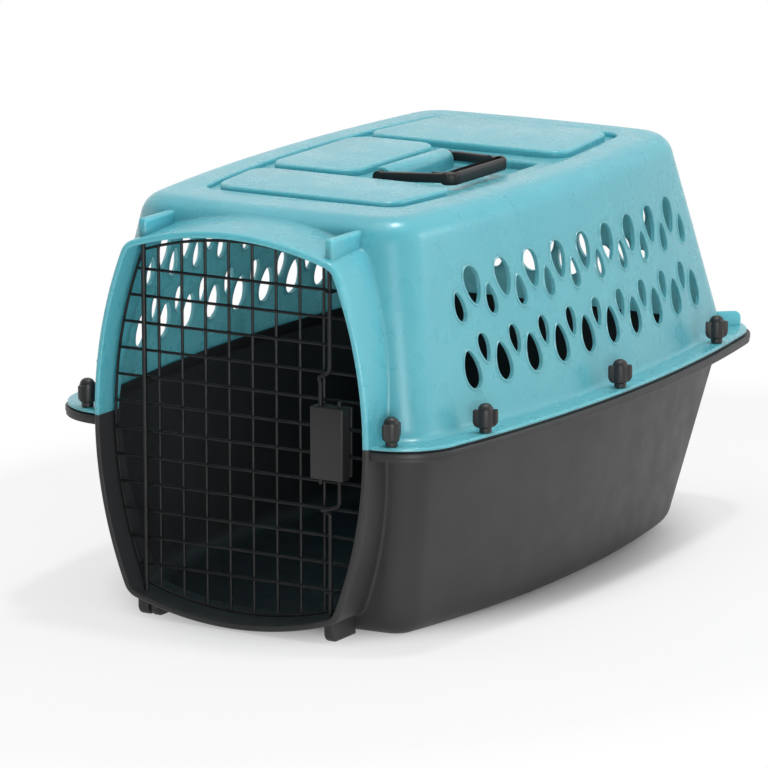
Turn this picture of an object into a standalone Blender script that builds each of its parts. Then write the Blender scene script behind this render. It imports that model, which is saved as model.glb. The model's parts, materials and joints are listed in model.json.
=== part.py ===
"""A pet transport carrier: two moulded shells, a wire door with a squeeze latch and a folding handle.

Metres, +Z up. The door faces -Y, the origin is on the floor under the middle of the carrier.
"""
from math import asin, atan2, cos, pi, radians, sin, sqrt

import bmesh
import bpy
from mathutils import Matrix, Vector

# Overall body
SEAM_Z = 0.1875            # underside of the upper flange
GAP = 0.0003               # clearance between neighbouring pieces
WALL = 0.003               # moulded wall
OVERLAP = 0.001            # how deep a joined shape reaches into the next
PAST = 0.010               # how far a cutter runs past what it cuts
FAR = 0.5                  # beyond the whole carrier
BULGE_RADIUS, FLOOR_BULGE_RADIUS = 1.64, 1.25    # plan radius of the bowed sides
END_SAG = 0.004            # bow of the front and back walls
FRONT_Y = -0.341           # front plane of the door collar

# Wall line at the seam, the floor and the deck: half width, front, back, corner radius, bow radius
SEAM = (0.2065, -0.314, 0.3145, 0.036, BULGE_RADIUS)
FLOOR = (0.181, -0.293, 0.238, 0.030, FLOOR_BULGE_RADIUS)
DECK = (0.1445, -0.262, 0.2485, 0.022, BULGE_RADIUS)
DECK_Z = 0.388
DECK_RISE = 0.009          # the deck climbs this much per metre towards the back
SHOULDER = 0.025           # radius between wall and deck
SHOULDER_START = 13        # degrees, the slope of the wall
FLOOR_ROUND = 0.018

# Flange of the upper shell and rim of the lower shell
FLANGE = (0.231, -0.340, 0.338, 0.060, BULGE_RADIUS)
FLANGE_SAG = 0.003
FLANGE_THICK = 0.003
RIM_OVERHANG = 0.003
RIM_HEIGHT = 0.0102
RIM_LIP = 0.0025

# Door opening: a barrel outline, symmetric about the seam
OPENING_CORNER_X, OPENING_CORNER_Z = 0.0985, 0.150
OPENING_SIDE_SAG, OPENING_ARCH_SAG = 0.0295, 0.0155
OPENING_ROUND = 0.014
OPENING_MID_Z = 0.187
OPENING_DEPTH_Y = -0.215
COLLAR_WALL, LIP_CHAMFER = 0.006, 0.003
COLLAR_BACK_Y = -0.255
HOOD_LIFT = 0.006          # the hood climbs this much towards the front wall

# Wire door
DOOR_Y = -0.320
PITCH = 0.0254
WIRE_R = 0.0014
LAYER = 0.0013             # level wires lie this far in front of the outline, uprights behind
UPRIGHTS = 8
ROWS_ABOVE, ROWS_BELOW = 6, 5
ROW_ZERO_Z = 0.174
DOOR_INSET = 0.0055        # outline wire centre inside the opening

# Hinge rod and latch
HINGE_X = -0.101
HINGE_ROD_R = 0.0023
HINGE_Y = DOOR_Y - LAYER - WIRE_R - GAP - HINGE_ROD_R
LATCH_X = 0.1004
LATCH_ROD_R = 0.002
LATCH_ROD_Y = -0.3278
LATCH_LEG = 0.010          # the two legs stand this far either side of the latch centre
COVER_WIDTH, COVER_BOTTOM, COVER_TOP = 0.0344, 0.153, 0.2205
COVER_FRONT_Y, COVER_BACK_Y = -0.335, -0.3231
COVER_WALL = 0.0016
POST_R = 0.003
POST_CELLS = (-0.5, 1.5)   # the clip posts pass the middle of these grid cells
STOP_R, STOP_THICK = 0.0034, 0.002
UPPER_STOP_Z, LOWER_STOP_Z = 0.200, 0.171
SPRING_R, SPRING_WIRE_R, SPRING_TURNS, TURN_STEPS = 0.0029, 0.00045, 7, 8
SOCKET_PLAY = 0.0004
BACK_PLATE, PLATE_INSET = 0.003, 0.001
GUIDE_WIRE_R = 0.0012

# Hood ribs and front feet, which hold the ends of the rods
RIB_HALF, RIB_BACK_Y, RIB_BOTTOM_Z, RIB_TOP_Z = 0.0045, -0.262, 0.340, 0.375
RIBS = ((-0.0998, -0.3295), (0.1014, -0.3312))      # middle and front of each
FOOT_BARS = ((0.0955, 0.105), (-0.0925, -0.0845), (-0.1068, -0.0955))
FOOT_FRONT_Y, FOOT_BACK_Y, FOOT_TOP_Z, FOOT_CHAMFER = -0.3325, -0.290, 0.030, 0.009
SOCKET_TOP_Z, SOCKET_BOTTOM_Z = 0.366, 0.0125
HINGE_ROD_ENDS_Z = (0.014, 0.3625)
BOLT_ENDS_Z = (0.0245, 0.3495)      # the drawn latch rods stop just short of their sockets
UPPER_BENDS_Z = (0.233, 0.2425, 0.249, 0.254)
LOWER_BENDS_Z = (0.1315, 0.1245, 0.1215, 0.1185, 0.1135)
BEND_STEP = 0.003          # sideways swing of the rods at their bends
LEG_STUB = 0.0055          # the legs show this much beyond the cover

# Deck pads, as left, right, front, back at the deck
PAD_RISE = 0.003
PAD_ROUND, PAD_SAG = 0.012, 0.001
FRONT_PAD = (-0.108, 0.108, -0.2165, -0.121)
MIDDLE_PAD = (-0.116, -0.019, -0.092, 0.077)
REAR_PAD = (-0.104, 0.104, 0.098, 0.2135)

# Handle recess, the block in it that the handle straddles, and the handle
POCKET = (-0.004, 0.1005, -0.099, 0.060)
POCKET_FLOOR_Z = 0.376
BLOCK = (-0.002, 0.020, -0.0805, 0.0365)
BLOCK_TOP_Z, BLOCK_ROUND = 0.394, 0.006
PIVOT_X, PIVOT_Z = 0.009, 0.386
PIN_R, PIN_LENGTH, PIVOT_HOLE = 0.0035, 0.0065, 0.0075
BOSS_R = 0.0055
ARM_WIDTH, ARM_HEIGHT = 0.008, 0.009
ARM_FRONT_Y, ARM_BACK_Y = -0.0895, 0.0455
GRIP_INNER_X, GRIP_OUTER_X, GRIP_BOTTOM_Z, GRIP_TOP_Z = 0.078, 0.0925, 0.384, 0.3965
HANDLE_CORNER = 0.011
GRIP_WALL, GRIP_ROUND = 0.0034, 0.0025
ARM_TRIM = 0.0006          # the arms are this much thinner than the bosses on each face

# Vents: rows of drops as height, half width, half height, blunt end up or down,
# then the first place, pitch, climb per pitch and count along the sides, and the count across the back
BACK_PITCH = 0.0437
VENT_ROWS = (
    (0.3155, 0.0115, 0.018, 1, -0.189, 0.0481, 0.0003, 9, 4),
    (0.299, 0.0078, 0.0128, -1, -0.2128, 0.0484, 0.0002, 10, 5),
    (0.258, 0.0078, 0.0128, 1, -0.1875, 0.0488, 0.0, 9, 4),
    (0.2415, 0.0115, 0.018, -1, -0.2105, 0.0488, 0.0, 10, 5),
)
VENT_SIDES = 10
DROP = 0.42                # how much fuller the blunt end is
BACK_VENT_Y = 0.2          # the back's cutters start inside the cabin

# Fasteners
NUT_PLACES = {
    "front": (0.164, -0.3262, 60),
    "side_front": (0.2090, -0.234, 15),
    "side_middle": (0.2240, -0.004, 20),
    "side_rear": (0.2085, 0.2228, 25),
}
LEFT_PLACES = {"side_front": (0.2085, -0.222, 15)}    # the one nut set back on the left
BOLT_R, BOLT_HEAD_R, BOLT_HEAD = 0.0025, 0.0049, 0.0032
BOLT_HOLE_R = 0.0029
SHANK_TOP = 0.020
NUT_STEM_R, NUT_STEM = 0.0055, 0.009
NUT_HUB_R, NUT_HUB_TOP, NUT_DOME, NUT_CHAMFER = 0.0064, 0.0275, 0.002, 0.0015
WING_ROOT, WING_REACH, WING_THICK, WING_OFFSET = 0.0036, 0.0108, 0.0042, 0.0028
WING_BOTTOM, WING_TOP = 0.0075, 0.0245
NUT_BORE_TOP = 0.017

# Gussets across the flange at the back corners, measured from the corner's centre
GUSSET_CENTRE, GUSSET_TURN = (0.147, 0.2747), 40
GUSSET_INNER, GUSSET_OUTER = 0.030, 0.0555
GUSSET_THICK, GUSSET_HEIGHT, GUSSET_ROUND = 0.004, 0.0175, 0.006

TURQUOISE = (0.10, 0.42, 0.50)
DARK_GREY = (0.035, 0.036, 0.039)
BLACK = (0.008, 0.008, 0.009)
STEEL = (0.45, 0.45, 0.46)


def clear_scene():
    for item in list(bpy.data.objects):
        bpy.data.objects.remove(item, do_unlink=True)


def material(name, colour, roughness, metallic=0.0):
    made = bpy.data.materials.new(name)
    made.use_nodes = True
    shader = made.node_tree.nodes["Principled BSDF"]
    shader.inputs["Base Color"].default_value = (*colour, 1.0)
    shader.inputs["Roughness"].default_value = roughness
    shader.inputs["Metallic"].default_value = metallic
    return made


def new_object(name, shape, look=None):
    """Turn a bmesh into a named object."""
    bmesh.ops.recalc_face_normals(shape, faces=shape.faces[:])
    mesh = bpy.data.meshes.new(name)
    shape.to_mesh(mesh)
    shape.free()
    made = bpy.data.objects.new(name, mesh)
    bpy.context.scene.collection.objects.link(made)
    if look:
        mesh.materials.append(look)
    return made


def helper(name, shape):
    """An object that only shapes others."""
    made = new_object(name, shape)
    made.hide_render = True
    made.display_type = "WIRE"
    return made


def boolean(target, operation, tools):
    """One exact Boolean for several tools, kept as a modifier. The tools move with their target."""
    group = bpy.data.collections.new(f"{target.name} {operation.lower()} {len(target.modifiers)}")
    bpy.context.scene.collection.children.link(group)
    for tool in tools:
        tool.parent = target
        group.objects.link(tool)
        bpy.context.scene.collection.objects.unlink(tool)
    cut = target.modifiers.new(operation.title(), "BOOLEAN")
    cut.operation = operation
    cut.operand_type = "COLLECTION"
    cut.collection = group


def bulged_outline(half_u, low_v, high_v, side_sag, end_sag, round_r, edge_steps=6, corner_steps=5):
    """Counter-clockwise outline with four bowed edges and round corners, by offsetting a sharp one."""
    u = half_u - round_r - side_sag
    low = low_v + round_r + end_sag
    high = high_v - round_r - end_sag
    corners = [Vector((-u, low)), Vector((u, low)), Vector((u, high)), Vector((-u, high))]
    sags = [end_sag, side_sag, end_sag, side_sag]
    edges = []
    for i, sag in enumerate(sags):
        start, end = corners[i], corners[(i + 1) % 4]
        along = (end - start).normalized()
        out = Vector((along.y, -along.x))
        half = (end - start).length / 2
        radius = (half * half + sag * sag) / (2 * sag)
        centre = (start + end) / 2 - out * (radius - sag)
        reach = asin(half / radius)
        turns = [reach * (2 * k / edge_steps - 1) for k in range(edge_steps + 1)]
        normals = [out * cos(t) + along * sin(t) for t in turns]
        edges.append([(centre + n * radius, n) for n in normals])
    points = []
    for i, edge in enumerate(edges):
        points += [p + n * round_r for p, n in edge]
        corner, first = edge[-1]
        last = edges[(i + 1) % 4][0][1]
        begin = atan2(first.y, first.x)
        sweep = (atan2(last.y, last.x) - begin) % (2 * pi)
        for k in range(1, corner_steps):
            angle = begin + sweep * k / corner_steps
            points.append(corner + Vector((cos(angle), sin(angle))) * round_r)
    return points


def loft(rings):
    """A closed solid through rings of equal count."""
    shape = bmesh.new()
    rows = [[shape.verts.new(p) for p in ring] for ring in rings]
    count = len(rows[0])
    for lower, upper in zip(rows, rows[1:]):
        for i in range(count):
            j = (i + 1) % count
            shape.faces.new((lower[i], lower[j], upper[j], upper[i]))
    shape.faces.new(rows[0])
    shape.faces.new(rows[-1])
    return shape


def box(low, high):
    shape = bmesh.new()
    size = Vector(high) - Vector(low)
    middle = (Vector(high) + Vector(low)) / 2
    place = Matrix.Translation(middle) @ Matrix.Diagonal((*size, 1.0))
    bmesh.ops.create_cube(shape, size=1.0, matrix=place)
    return shape


def cylinder(start, end, radius, sides=12):
    """A closed round bar between two points."""
    shape = bmesh.new()
    start, end = Vector(start), Vector(end)
    turn = (end - start).to_track_quat("Z", "Y").to_matrix().to_4x4()
    place = Matrix.Translation((start + end) / 2) @ turn
    bmesh.ops.create_cone(
        shape, cap_ends=True, segments=sides, radius1=radius, radius2=radius,
        depth=(end - start).length, matrix=place,
    )
    return shape


def tube(points, radius, sides=6, closed=False, up=Vector((0, 1, 0))):
    """Sweep a round section along a path, mitred at each point."""
    points = [Vector(p) for p in points]
    count = len(points)
    rings = []
    for i, point in enumerate(points):
        before = points[i - 1] if closed or i else None
        after = points[(i + 1) % count] if closed or i < count - 1 else None
        inward = (point - before).normalized() if before else (after - point).normalized()
        onward = (after - point).normalized() if after else inward
        along = (inward + onward).normalized()
        side = up.cross(along).normalized()
        lift = along.cross(side).normalized()
        widen = 1 / max(0.4, along.dot(inward))
        turns = [2 * pi * (k + 0.5) / sides for k in range(sides)]
        rings.append([point + (side * cos(t) * widen + lift * sin(t)) * radius for t in turns])
    shape = bmesh.new()
    rows = [[shape.verts.new(p) for p in ring] for ring in rings]
    pairs = list(zip(rows, rows[1:]))
    if closed:
        pairs.append((rows[-1], rows[0]))
    for first, second in pairs:
        for k in range(sides):
            n = (k + 1) % sides
            shape.faces.new((first[k], first[n], second[n], second[k]))
    if not closed:
        shape.faces.new(rows[0])
        shape.faces.new(rows[-1])
    return shape


def grown(level, by):
    """A level's outline moved outwards."""
    half, front, back, corner, bow = level
    return half + by, front - by, back + by, corner + by, bow


def plan_ring(z, level, end_sag=END_SAG):
    """The body's outline at one height."""
    half, front, back, corner, bow = level
    half_chord = (back - front) / 2 - corner
    sag = half_chord * half_chord / (2 * bow)
    outline = bulged_outline(half, front, back, sag, end_sag, corner)
    return [Vector((p.x, p.y, z)) for p in outline]


def wall_ring(z, inset, level, level_z):
    """Outline on the wall line between the seam and another level."""
    share = (z - SEAM_Z) / (level_z - SEAM_Z)
    mixed = [a + (b - a) * share for a, b in zip(SEAM, level)]
    return plan_ring(z, grown(mixed, -inset))


def climbing(ring):
    """Points of the deck or its shoulder, higher towards the back."""
    return [Vector((p[0], p[1], p[2] + DECK_RISE * p[1])) for p in ring]


def upper_body(inset):
    """Upper shell as a solid, or its hollow when inset by the wall."""
    reach = SHOULDER - inset
    slope = radians(SHOULDER_START)
    steps = [slope + (pi / 2 - slope) * k / 3 for k in range(4)]
    centre_z = DECK_Z - SHOULDER
    rings = [climbing(plan_ring(centre_z + reach * sin(t), grown(DECK, reach * cos(t)))) for t in steps]
    shoulder = grown(DECK, SHOULDER * cos(slope))
    foot = wall_ring(SEAM_Z - PAST - inset, inset, shoulder, centre_z + SHOULDER * sin(slope))
    return loft([foot, *rings])


def lower_body(inset):
    """Lower shell as a solid, or its hollow when inset by the wall."""
    rings = []
    for turn in (90, 60, 30, 0):
        pull = FLOOR_ROUND * (1 - cos(radians(turn)))
        height = FLOOR_ROUND * (1 - sin(radians(turn)))
        rings.append(wall_ring(height + inset, pull + inset, FLOOR, 0.0))
    rings.append(wall_ring(SEAM_Z + PAST + inset, inset, FLOOR, 0.0))
    return loft(rings)


def barrel(offset, lift=0.0):
    """The door opening's outline in X and Z, grown by offset, its upper half stretched by lift."""
    half_z = OPENING_CORNER_Z + OPENING_ARCH_SAG + OPENING_ROUND + offset
    half_x = OPENING_CORNER_X + OPENING_SIDE_SAG + OPENING_ROUND + offset
    outline = bulged_outline(
        half_x, -half_z, half_z, OPENING_SIDE_SAG, OPENING_ARCH_SAG, OPENING_ROUND + offset,
        edge_steps=10, corner_steps=4,
    )
    stretch = 1 + lift / half_z
    return [(p.x, OPENING_MID_Z + p.y * (stretch if p.y > 0 else 1)) for p in outline]


def opening_half_width(z):
    """Half width of the outline wire's centre line at height z."""
    radius = side_radius(OPENING_CORNER_Z, OPENING_SIDE_SAG) + OPENING_ROUND - DOOR_INSET
    widest = OPENING_CORNER_X + OPENING_SIDE_SAG + OPENING_ROUND - DOOR_INSET
    return widest - radius + sqrt(radius * radius - (z - OPENING_MID_Z) ** 2)


def opening_half_height(x, inset):
    """Half height of the opening at x, inset from its edge."""
    radius = side_radius(OPENING_CORNER_X, OPENING_ARCH_SAG) + OPENING_ROUND - inset
    highest = OPENING_CORNER_Z + OPENING_ARCH_SAG + OPENING_ROUND - inset
    return highest - radius + sqrt(radius * radius - x * x)


def side_radius(half, sag):
    return (half * half + sag * sag) / (2 * sag)


def prism_y(outline, front, back):
    """Extrude an X-Z outline along Y."""
    return loft([[(x, front, z) for x, z in outline], [(x, back, z) for x, z in outline]])


def collar(lift):
    """Tunnel round the opening with a chamfered lip, its top climbing by lift towards the front wall."""
    stations = ((FRONT_Y, COLLAR_WALL - LIP_CHAMFER, 0.0), (FRONT_Y + LIP_CHAMFER, COLLAR_WALL, 0.0),
                (COLLAR_BACK_Y, COLLAR_WALL, lift))
    return loft([[(x, y, z) for x, z in barrel(offset, rise)] for y, offset, rise in stations])


def plate(level, low, high):
    return loft([plan_ring(z, level, FLANGE_SAG) for z in (low, high)])


def rounded_plate(left, right, front, back, low, high):
    """A flat pad with round corners."""
    outline = bulged_outline((right - left) / 2, front, back, PAD_SAG, PAD_SAG, PAD_ROUND, 3, 3)
    middle = (left + right) / 2
    return loft([climbing([(p.x + middle, p.y, z) for p in outline]) for z in (low, high)])


def vent_drop(middle, z, half_w, half_h, blunt):
    """A drop as places along a wall and heights."""
    turns = [2 * pi * (k + 0.5) / VENT_SIDES for k in range(VENT_SIDES)]
    return [(middle + half_w * sin(t) * (1 + DROP * blunt * cos(t)), z + half_h * cos(t)) for t in turns]


def vents(wall):
    """Vents as bars: from side to side, or out through the back."""
    bars = bmesh.new()
    for z, half_w, half_h, blunt, first, pitch, climb, count, back_count in VENT_ROWS:
        if wall == "side":
            drops = [vent_drop(first + pitch * k, z + climb * k, half_w, half_h, blunt) for k in range(count)]
            shapes = [loft([[(x, y, height) for y, height in drop] for x in (-FAR, FAR)]) for drop in drops]
        else:
            places = [BACK_PITCH * (k - (back_count - 1) / 2) for k in range(back_count)]
            shapes = [prism_y(vent_drop(x, z, half_w, half_h, blunt), BACK_VENT_Y, FAR) for x in places]
        for shape in shapes:
            add_faces(bars, shape)
    return bars


def add_faces(whole, shape):
    """Add a shape's faces to another's."""
    mesh = bpy.data.meshes.new("added")
    shape.to_mesh(mesh)
    shape.free()
    whole.from_mesh(mesh)
    bpy.data.meshes.remove(mesh)


def fastener_places():
    """Name, position and turn of each of the eight fasteners."""
    for side, sign, places in (("right", 1, NUT_PLACES), ("left", -1, NUT_PLACES | LEFT_PLACES)):
        for name, (x, y, turn) in places.items():
            yield f"{name}_{side}", sign * x, y, radians(turn)


def bolt_holes(name):
    """Cutters for the eight bolt holes."""
    holes = []
    for place, x, y, _ in fastener_places():
        bar = cylinder((x, y, SEAM_Z - 2 * PAST), (x, y, SEAM_Z + PAST), BOLT_HOLE_R)
        holes.append(helper(f"{name} {place} hole", bar))
    return holes


def gusset(sign):
    """Upright plate between the wall's back corner and the flange."""
    low, high = SEAM_Z + OVERLAP, SEAM_Z + GUSSET_HEIGHT
    outline = [(GUSSET_INNER, high), (GUSSET_INNER, low), (GUSSET_OUTER, low)]
    for turn in (0, 45, 90):
        reach = GUSSET_OUTER - GUSSET_ROUND * (1 - cos(radians(turn)))
        outline.append((reach, high - GUSSET_ROUND * (1 - sin(radians(turn)))))
    out = Vector((sign * cos(radians(GUSSET_TURN)), sin(radians(GUSSET_TURN)), 0))
    across = Vector((-out.y, out.x, 0)) * GUSSET_THICK / 2
    centre = Vector((sign * GUSSET_CENTRE[0], GUSSET_CENTRE[1], 0))
    side = [centre + out * reach + Vector((0, 0, z)) for reach, z in outline]
    return loft([[p - across for p in side], [p + across for p in side]])


def foot(left, right):
    """A bar under the collar with a chamfered toe."""
    toe = [(FOOT_BACK_Y, 0.0), (FOOT_FRONT_Y + FOOT_CHAMFER, 0.0), (FOOT_FRONT_Y, FOOT_CHAMFER),
           (FOOT_FRONT_Y, FOOT_TOP_Z), (FOOT_BACK_Y, FOOT_TOP_Z)]
    return loft([[(x, y, z) for y, z in toe] for x in (left, right)])


def rod_socket(x, y, radius, low, high):
    return cylinder((x, y, low), (x, y, high), radius + SOCKET_PLAY)


def handle_block():
    """The block between the handle's arms, with a round top."""
    left, right, front, back = BLOCK
    shape = box((left, front, POCKET_FLOOR_Z - OVERLAP), (right, back, BLOCK_TOP_Z))
    ridges = [e for e in shape.edges if all(v.co.z > BLOCK_TOP_Z - 1e-6 for v in e.verts)]
    ridges = [e for e in ridges if abs(e.verts[0].co.x - e.verts[1].co.x) < 1e-6]
    bmesh.ops.bevel(shape, geom=ridges, offset=BLOCK_ROUND, segments=2, profile=0.5, affect="EDGES")
    return shape


def pivot_hole(face, inward):
    """Cutter for a pin's hole in one end of the block."""
    start = (PIVOT_X, face - inward * OVERLAP, PIVOT_Z)
    return cylinder(start, (PIVOT_X, face + inward * PIVOT_HOLE, PIVOT_Z), PIN_R + SOCKET_PLAY)


def top_shell(look):
    shell = new_object("top_shell", upper_body(0.0), look)
    added = [
        helper("upper collar", collar(HOOD_LIFT)),
        helper("flange", plate(FLANGE, SEAM_Z, SEAM_Z + FLANGE_THICK)),
    ]
    for name, place in (("front", FRONT_PAD), ("middle", MIDDLE_PAD), ("rear", REAR_PAD)):
        pad = rounded_plate(*place, DECK_Z - OVERLAP, DECK_Z + PAD_RISE)
        added.append(helper(f"{name} pad", pad))
    for sign, (middle, front) in zip((-1, 1), RIBS):
        low = (middle - RIB_HALF, front, RIB_BOTTOM_Z)
        added.append(helper(f"rib {sign}", box(low, (middle + RIB_HALF, RIB_BACK_Y, RIB_TOP_Z))))
        added.append(helper(f"gusset {sign}", gusset(sign)))
    boolean(shell, "UNION", added)
    boolean(shell, "DIFFERENCE", [
        helper("upper hollow", upper_body(WALL)),
        helper("upper opening", prism_y(barrel(0.0), FRONT_Y - PAST, OPENING_DEPTH_Y)),
        helper("below the seam", box((-FAR, -FAR, -PAST), (FAR, FAR, SEAM_Z))),
    ])
    left, right, front, back = POCKET
    cup_low = (left - WALL, front - WALL, POCKET_FLOOR_Z - WALL)
    cup = box(cup_low, (right + WALL, back + WALL, DECK_Z - 2 * OVERLAP))
    boolean(shell, "UNION", [helper("pocket cup", cup)])
    boolean(shell, "DIFFERENCE", [
        helper("pocket", box((left, front, POCKET_FLOOR_Z), (right, back, DECK_Z + PAST))),
    ])
    boolean(shell, "UNION", [helper("handle block", handle_block())])
    cuts = [
        helper("front pivot", pivot_hole(BLOCK[2], 1)),
        helper("back pivot", pivot_hole(BLOCK[3], -1)),
        helper("hinge socket", rod_socket(HINGE_X, HINGE_Y, HINGE_ROD_R, RIB_BOTTOM_Z, SOCKET_TOP_Z)),
        helper("latch socket", rod_socket(LATCH_X, LATCH_ROD_Y, LATCH_ROD_R, RIB_BOTTOM_Z, SOCKET_TOP_Z)),
        helper("side vents", vents("side")),
    ]
    boolean(shell, "DIFFERENCE", cuts + bolt_holes("flange"))
    boolean(shell, "DIFFERENCE", [helper("back vents", vents("back"))])


def bottom_shell(look):
    shell = new_object("bottom_shell", lower_body(0.0), look)
    top = SEAM_Z - GAP
    rim_level = (FLANGE[0] + RIM_OVERHANG, FLANGE[1], FLANGE[2] + RIM_OVERHANG, *FLANGE[3:])
    rim = helper("rim", plate(rim_level, top - RIM_HEIGHT, top))
    rim_hollow = plate(grown(rim_level, -RIM_LIP), top - RIM_HEIGHT - PAST, top - WALL)
    boolean(rim, "DIFFERENCE", [helper("rim hollow", rim_hollow)])
    added = [rim, helper("lower collar", collar(0.0))]
    for left, right in FOOT_BARS:
        added.append(helper(f"foot {left}", foot(left, right)))
    boolean(shell, "UNION", added)
    foot_z = (SOCKET_BOTTOM_Z, FOOT_TOP_Z + PAST)
    boolean(shell, "DIFFERENCE", [
        helper("lower hollow", lower_body(WALL)),
        helper("lower opening", prism_y(barrel(0.0), FRONT_Y - PAST, OPENING_DEPTH_Y)),
        helper("above the seam", box((-FAR, -FAR, top), (FAR, FAR, FAR))),
        helper("hinge foot socket", rod_socket(HINGE_X, HINGE_Y, HINGE_ROD_R, *foot_z)),
        helper("latch foot socket", rod_socket(LATCH_X, LATCH_ROD_Y, LATCH_ROD_R, *foot_z)),
    ] + bolt_holes("rim"))


def door_grille(look):
    outline = [(x, DOOR_Y, z) for x, z in barrel(-DOOR_INSET)]
    grille = new_object("door_grille", tube(outline, WIRE_R, closed=True), look)
    wires = []
    for k in range(-ROWS_BELOW, ROWS_ABOVE + 1):
        z = ROW_ZERO_Z + PITCH * k
        half = opening_half_width(z)
        ends = [(-half, DOOR_Y - LAYER, z), (half, DOOR_Y - LAYER, z)]
        wires.append(helper(f"level wire {k}", tube(ends, WIRE_R)))
    for k in range(UPRIGHTS):
        x = PITCH * (k - (UPRIGHTS - 1) / 2)
        half = opening_half_height(x, DOOR_INSET)
        ends = [(x, DOOR_Y + LAYER, OPENING_MID_Z - half), (x, DOOR_Y + LAYER, OPENING_MID_Z + half)]
        wires.append(helper(f"upright wire {k}", tube(ends, WIRE_R)))
    boolean(grille, "UNION", wires)


def hinge_rod(look):
    ends = [(0, 0, z - SEAM_Z) for z in HINGE_ROD_ENDS_Z]
    rod = new_object("door_hinge_rod", cylinder(*ends, HINGE_ROD_R, 10), look)
    rod.location = (HINGE_X, HINGE_Y, SEAM_Z)


def latch_cover(look):
    left, right = LATCH_X - COVER_WIDTH / 2, LATCH_X + COVER_WIDTH / 2
    block = box((left, COVER_FRONT_Y, COVER_BOTTOM), (right, COVER_BACK_Y, COVER_TOP))
    cover = new_object("latch_cover", block, look)
    hollow = box((left + COVER_WALL, COVER_FRONT_Y + COVER_WALL, COVER_BOTTOM + COVER_WALL),
                 (right - COVER_WALL, COVER_BACK_Y + PAST, COVER_TOP - COVER_WALL))
    cuts = [helper("cover hollow", hollow)]
    for sign in (-1, 1):
        x = LATCH_X + sign * LATCH_LEG
        bar = rod_socket(x, LATCH_ROD_Y, LATCH_ROD_R, COVER_BOTTOM - PAST, COVER_TOP + PAST)
        cuts.append(helper(f"rod hole {sign}", bar))
    boolean(cover, "DIFFERENCE", cuts)
    posts = []
    behind = DOOR_Y + LAYER + WIRE_R + GAP / 3
    for cell in POST_CELLS:
        z = ROW_ZERO_Z + PITCH * cell
        post = cylinder((LATCH_X, COVER_FRONT_Y + COVER_WALL / 3, z), (LATCH_X, behind, z), POST_R)
        posts.append(helper(f"post {cell}", post))
    boolean(cover, "UNION", posts)
    back_plate = box((left + PLATE_INSET, behind + GAP, COVER_BOTTOM + PLATE_INSET),
                     (right - PLATE_INSET, behind + GAP + BACK_PLATE, COVER_TOP - PLATE_INSET))
    new_object("latch_back_plate", back_plate, look)


def latch_rod(name, path, stop_x, stop_z, look):
    """A bent bolt with the stop that its spring pushes on."""
    points = [(x, LATCH_ROD_Y, z) for x, z in path]
    rod = new_object(name, tube(points, LATCH_ROD_R, sides=8), look)
    stop = cylinder((stop_x, LATCH_ROD_Y, stop_z), (stop_x, LATCH_ROD_Y, stop_z + STOP_THICK), STOP_R)
    boolean(rod, "UNION", [helper(f"{name} stop", stop)])


def latch_spring(name, x, low, high, look):
    """A coil round a rod, between its stop and the cover's end wall."""
    steps = SPRING_TURNS * TURN_STEPS
    climb = high - low - 2 * SPRING_WIRE_R
    points = []
    for k in range(steps + 1):
        turn = 2 * pi * k / TURN_STEPS
        height = low + SPRING_WIRE_R + climb * k / steps
        points.append(Vector((x + SPRING_R * cos(turn), LATCH_ROD_Y + SPRING_R * sin(turn), height)))
    apart = min((a - b).length for i, a in enumerate(points) for b in points[i + TURN_STEPS // 2:])
    print(f"{name}: least gap between turns {(apart - 2 * SPRING_WIRE_R) * 1000:.2f} mm")
    new_object(name, tube(points, SPRING_WIRE_R, sides=4, up=Vector((0, 0, 1))), look)


def latch_rods(rod_look, spring_look):
    left, right = LATCH_X - LATCH_LEG, LATCH_X + LATCH_LEG
    upper_x = (left, left - BEND_STEP, LATCH_X - BEND_STEP, LATCH_X)
    upper = [(left, COVER_BOTTOM - LEG_STUB), *zip(upper_x, UPPER_BENDS_Z), (LATCH_X, BOLT_ENDS_Z[1])]
    latch_rod("latch_rod_upper", upper, left, UPPER_STOP_Z, rod_look)
    lower_x = (right, left + BEND_STEP, left + BEND_STEP / 3, left + BEND_STEP, LATCH_X)
    lower = [(right, COVER_TOP + LEG_STUB), *zip(lower_x, LOWER_BENDS_Z), (LATCH_X, BOLT_ENDS_Z[0])]
    latch_rod("latch_rod_lower", lower, right, LOWER_STOP_Z, rod_look)
    latch_spring("latch_spring_upper", left, COVER_BOTTOM + COVER_WALL + GAP, UPPER_STOP_Z - GAP, spring_look)
    latch_spring("latch_spring_lower", right, LOWER_STOP_Z + STOP_THICK + GAP, COVER_TOP - COVER_WALL - GAP,
                 spring_look)


def rod_guides(look):
    """Wire loops that keep the bolts against the top and bottom rows."""
    back = DOOR_Y - LAYER - WIRE_R - GAP
    front = LATCH_ROD_Y - LATCH_ROD_R - GUIDE_WIRE_R - SOCKET_PLAY
    side = LATCH_ROD_R + GUIDE_WIRE_R + SOCKET_PLAY
    for name, row in (("upper", ROWS_ABOVE), ("lower", -ROWS_BELOW)):
        z = ROW_ZERO_Z + PITCH * row
        path = [(LATCH_X - side, back, z), (LATCH_X - side, front, z), (LATCH_X + side, front, z),
                (LATCH_X + side, back, z)]
        loop = tube(path, GUIDE_WIRE_R, up=Vector((0, 0, 1)))
        new_object(f"latch_rod_guide_{name}", loop, look)


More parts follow.
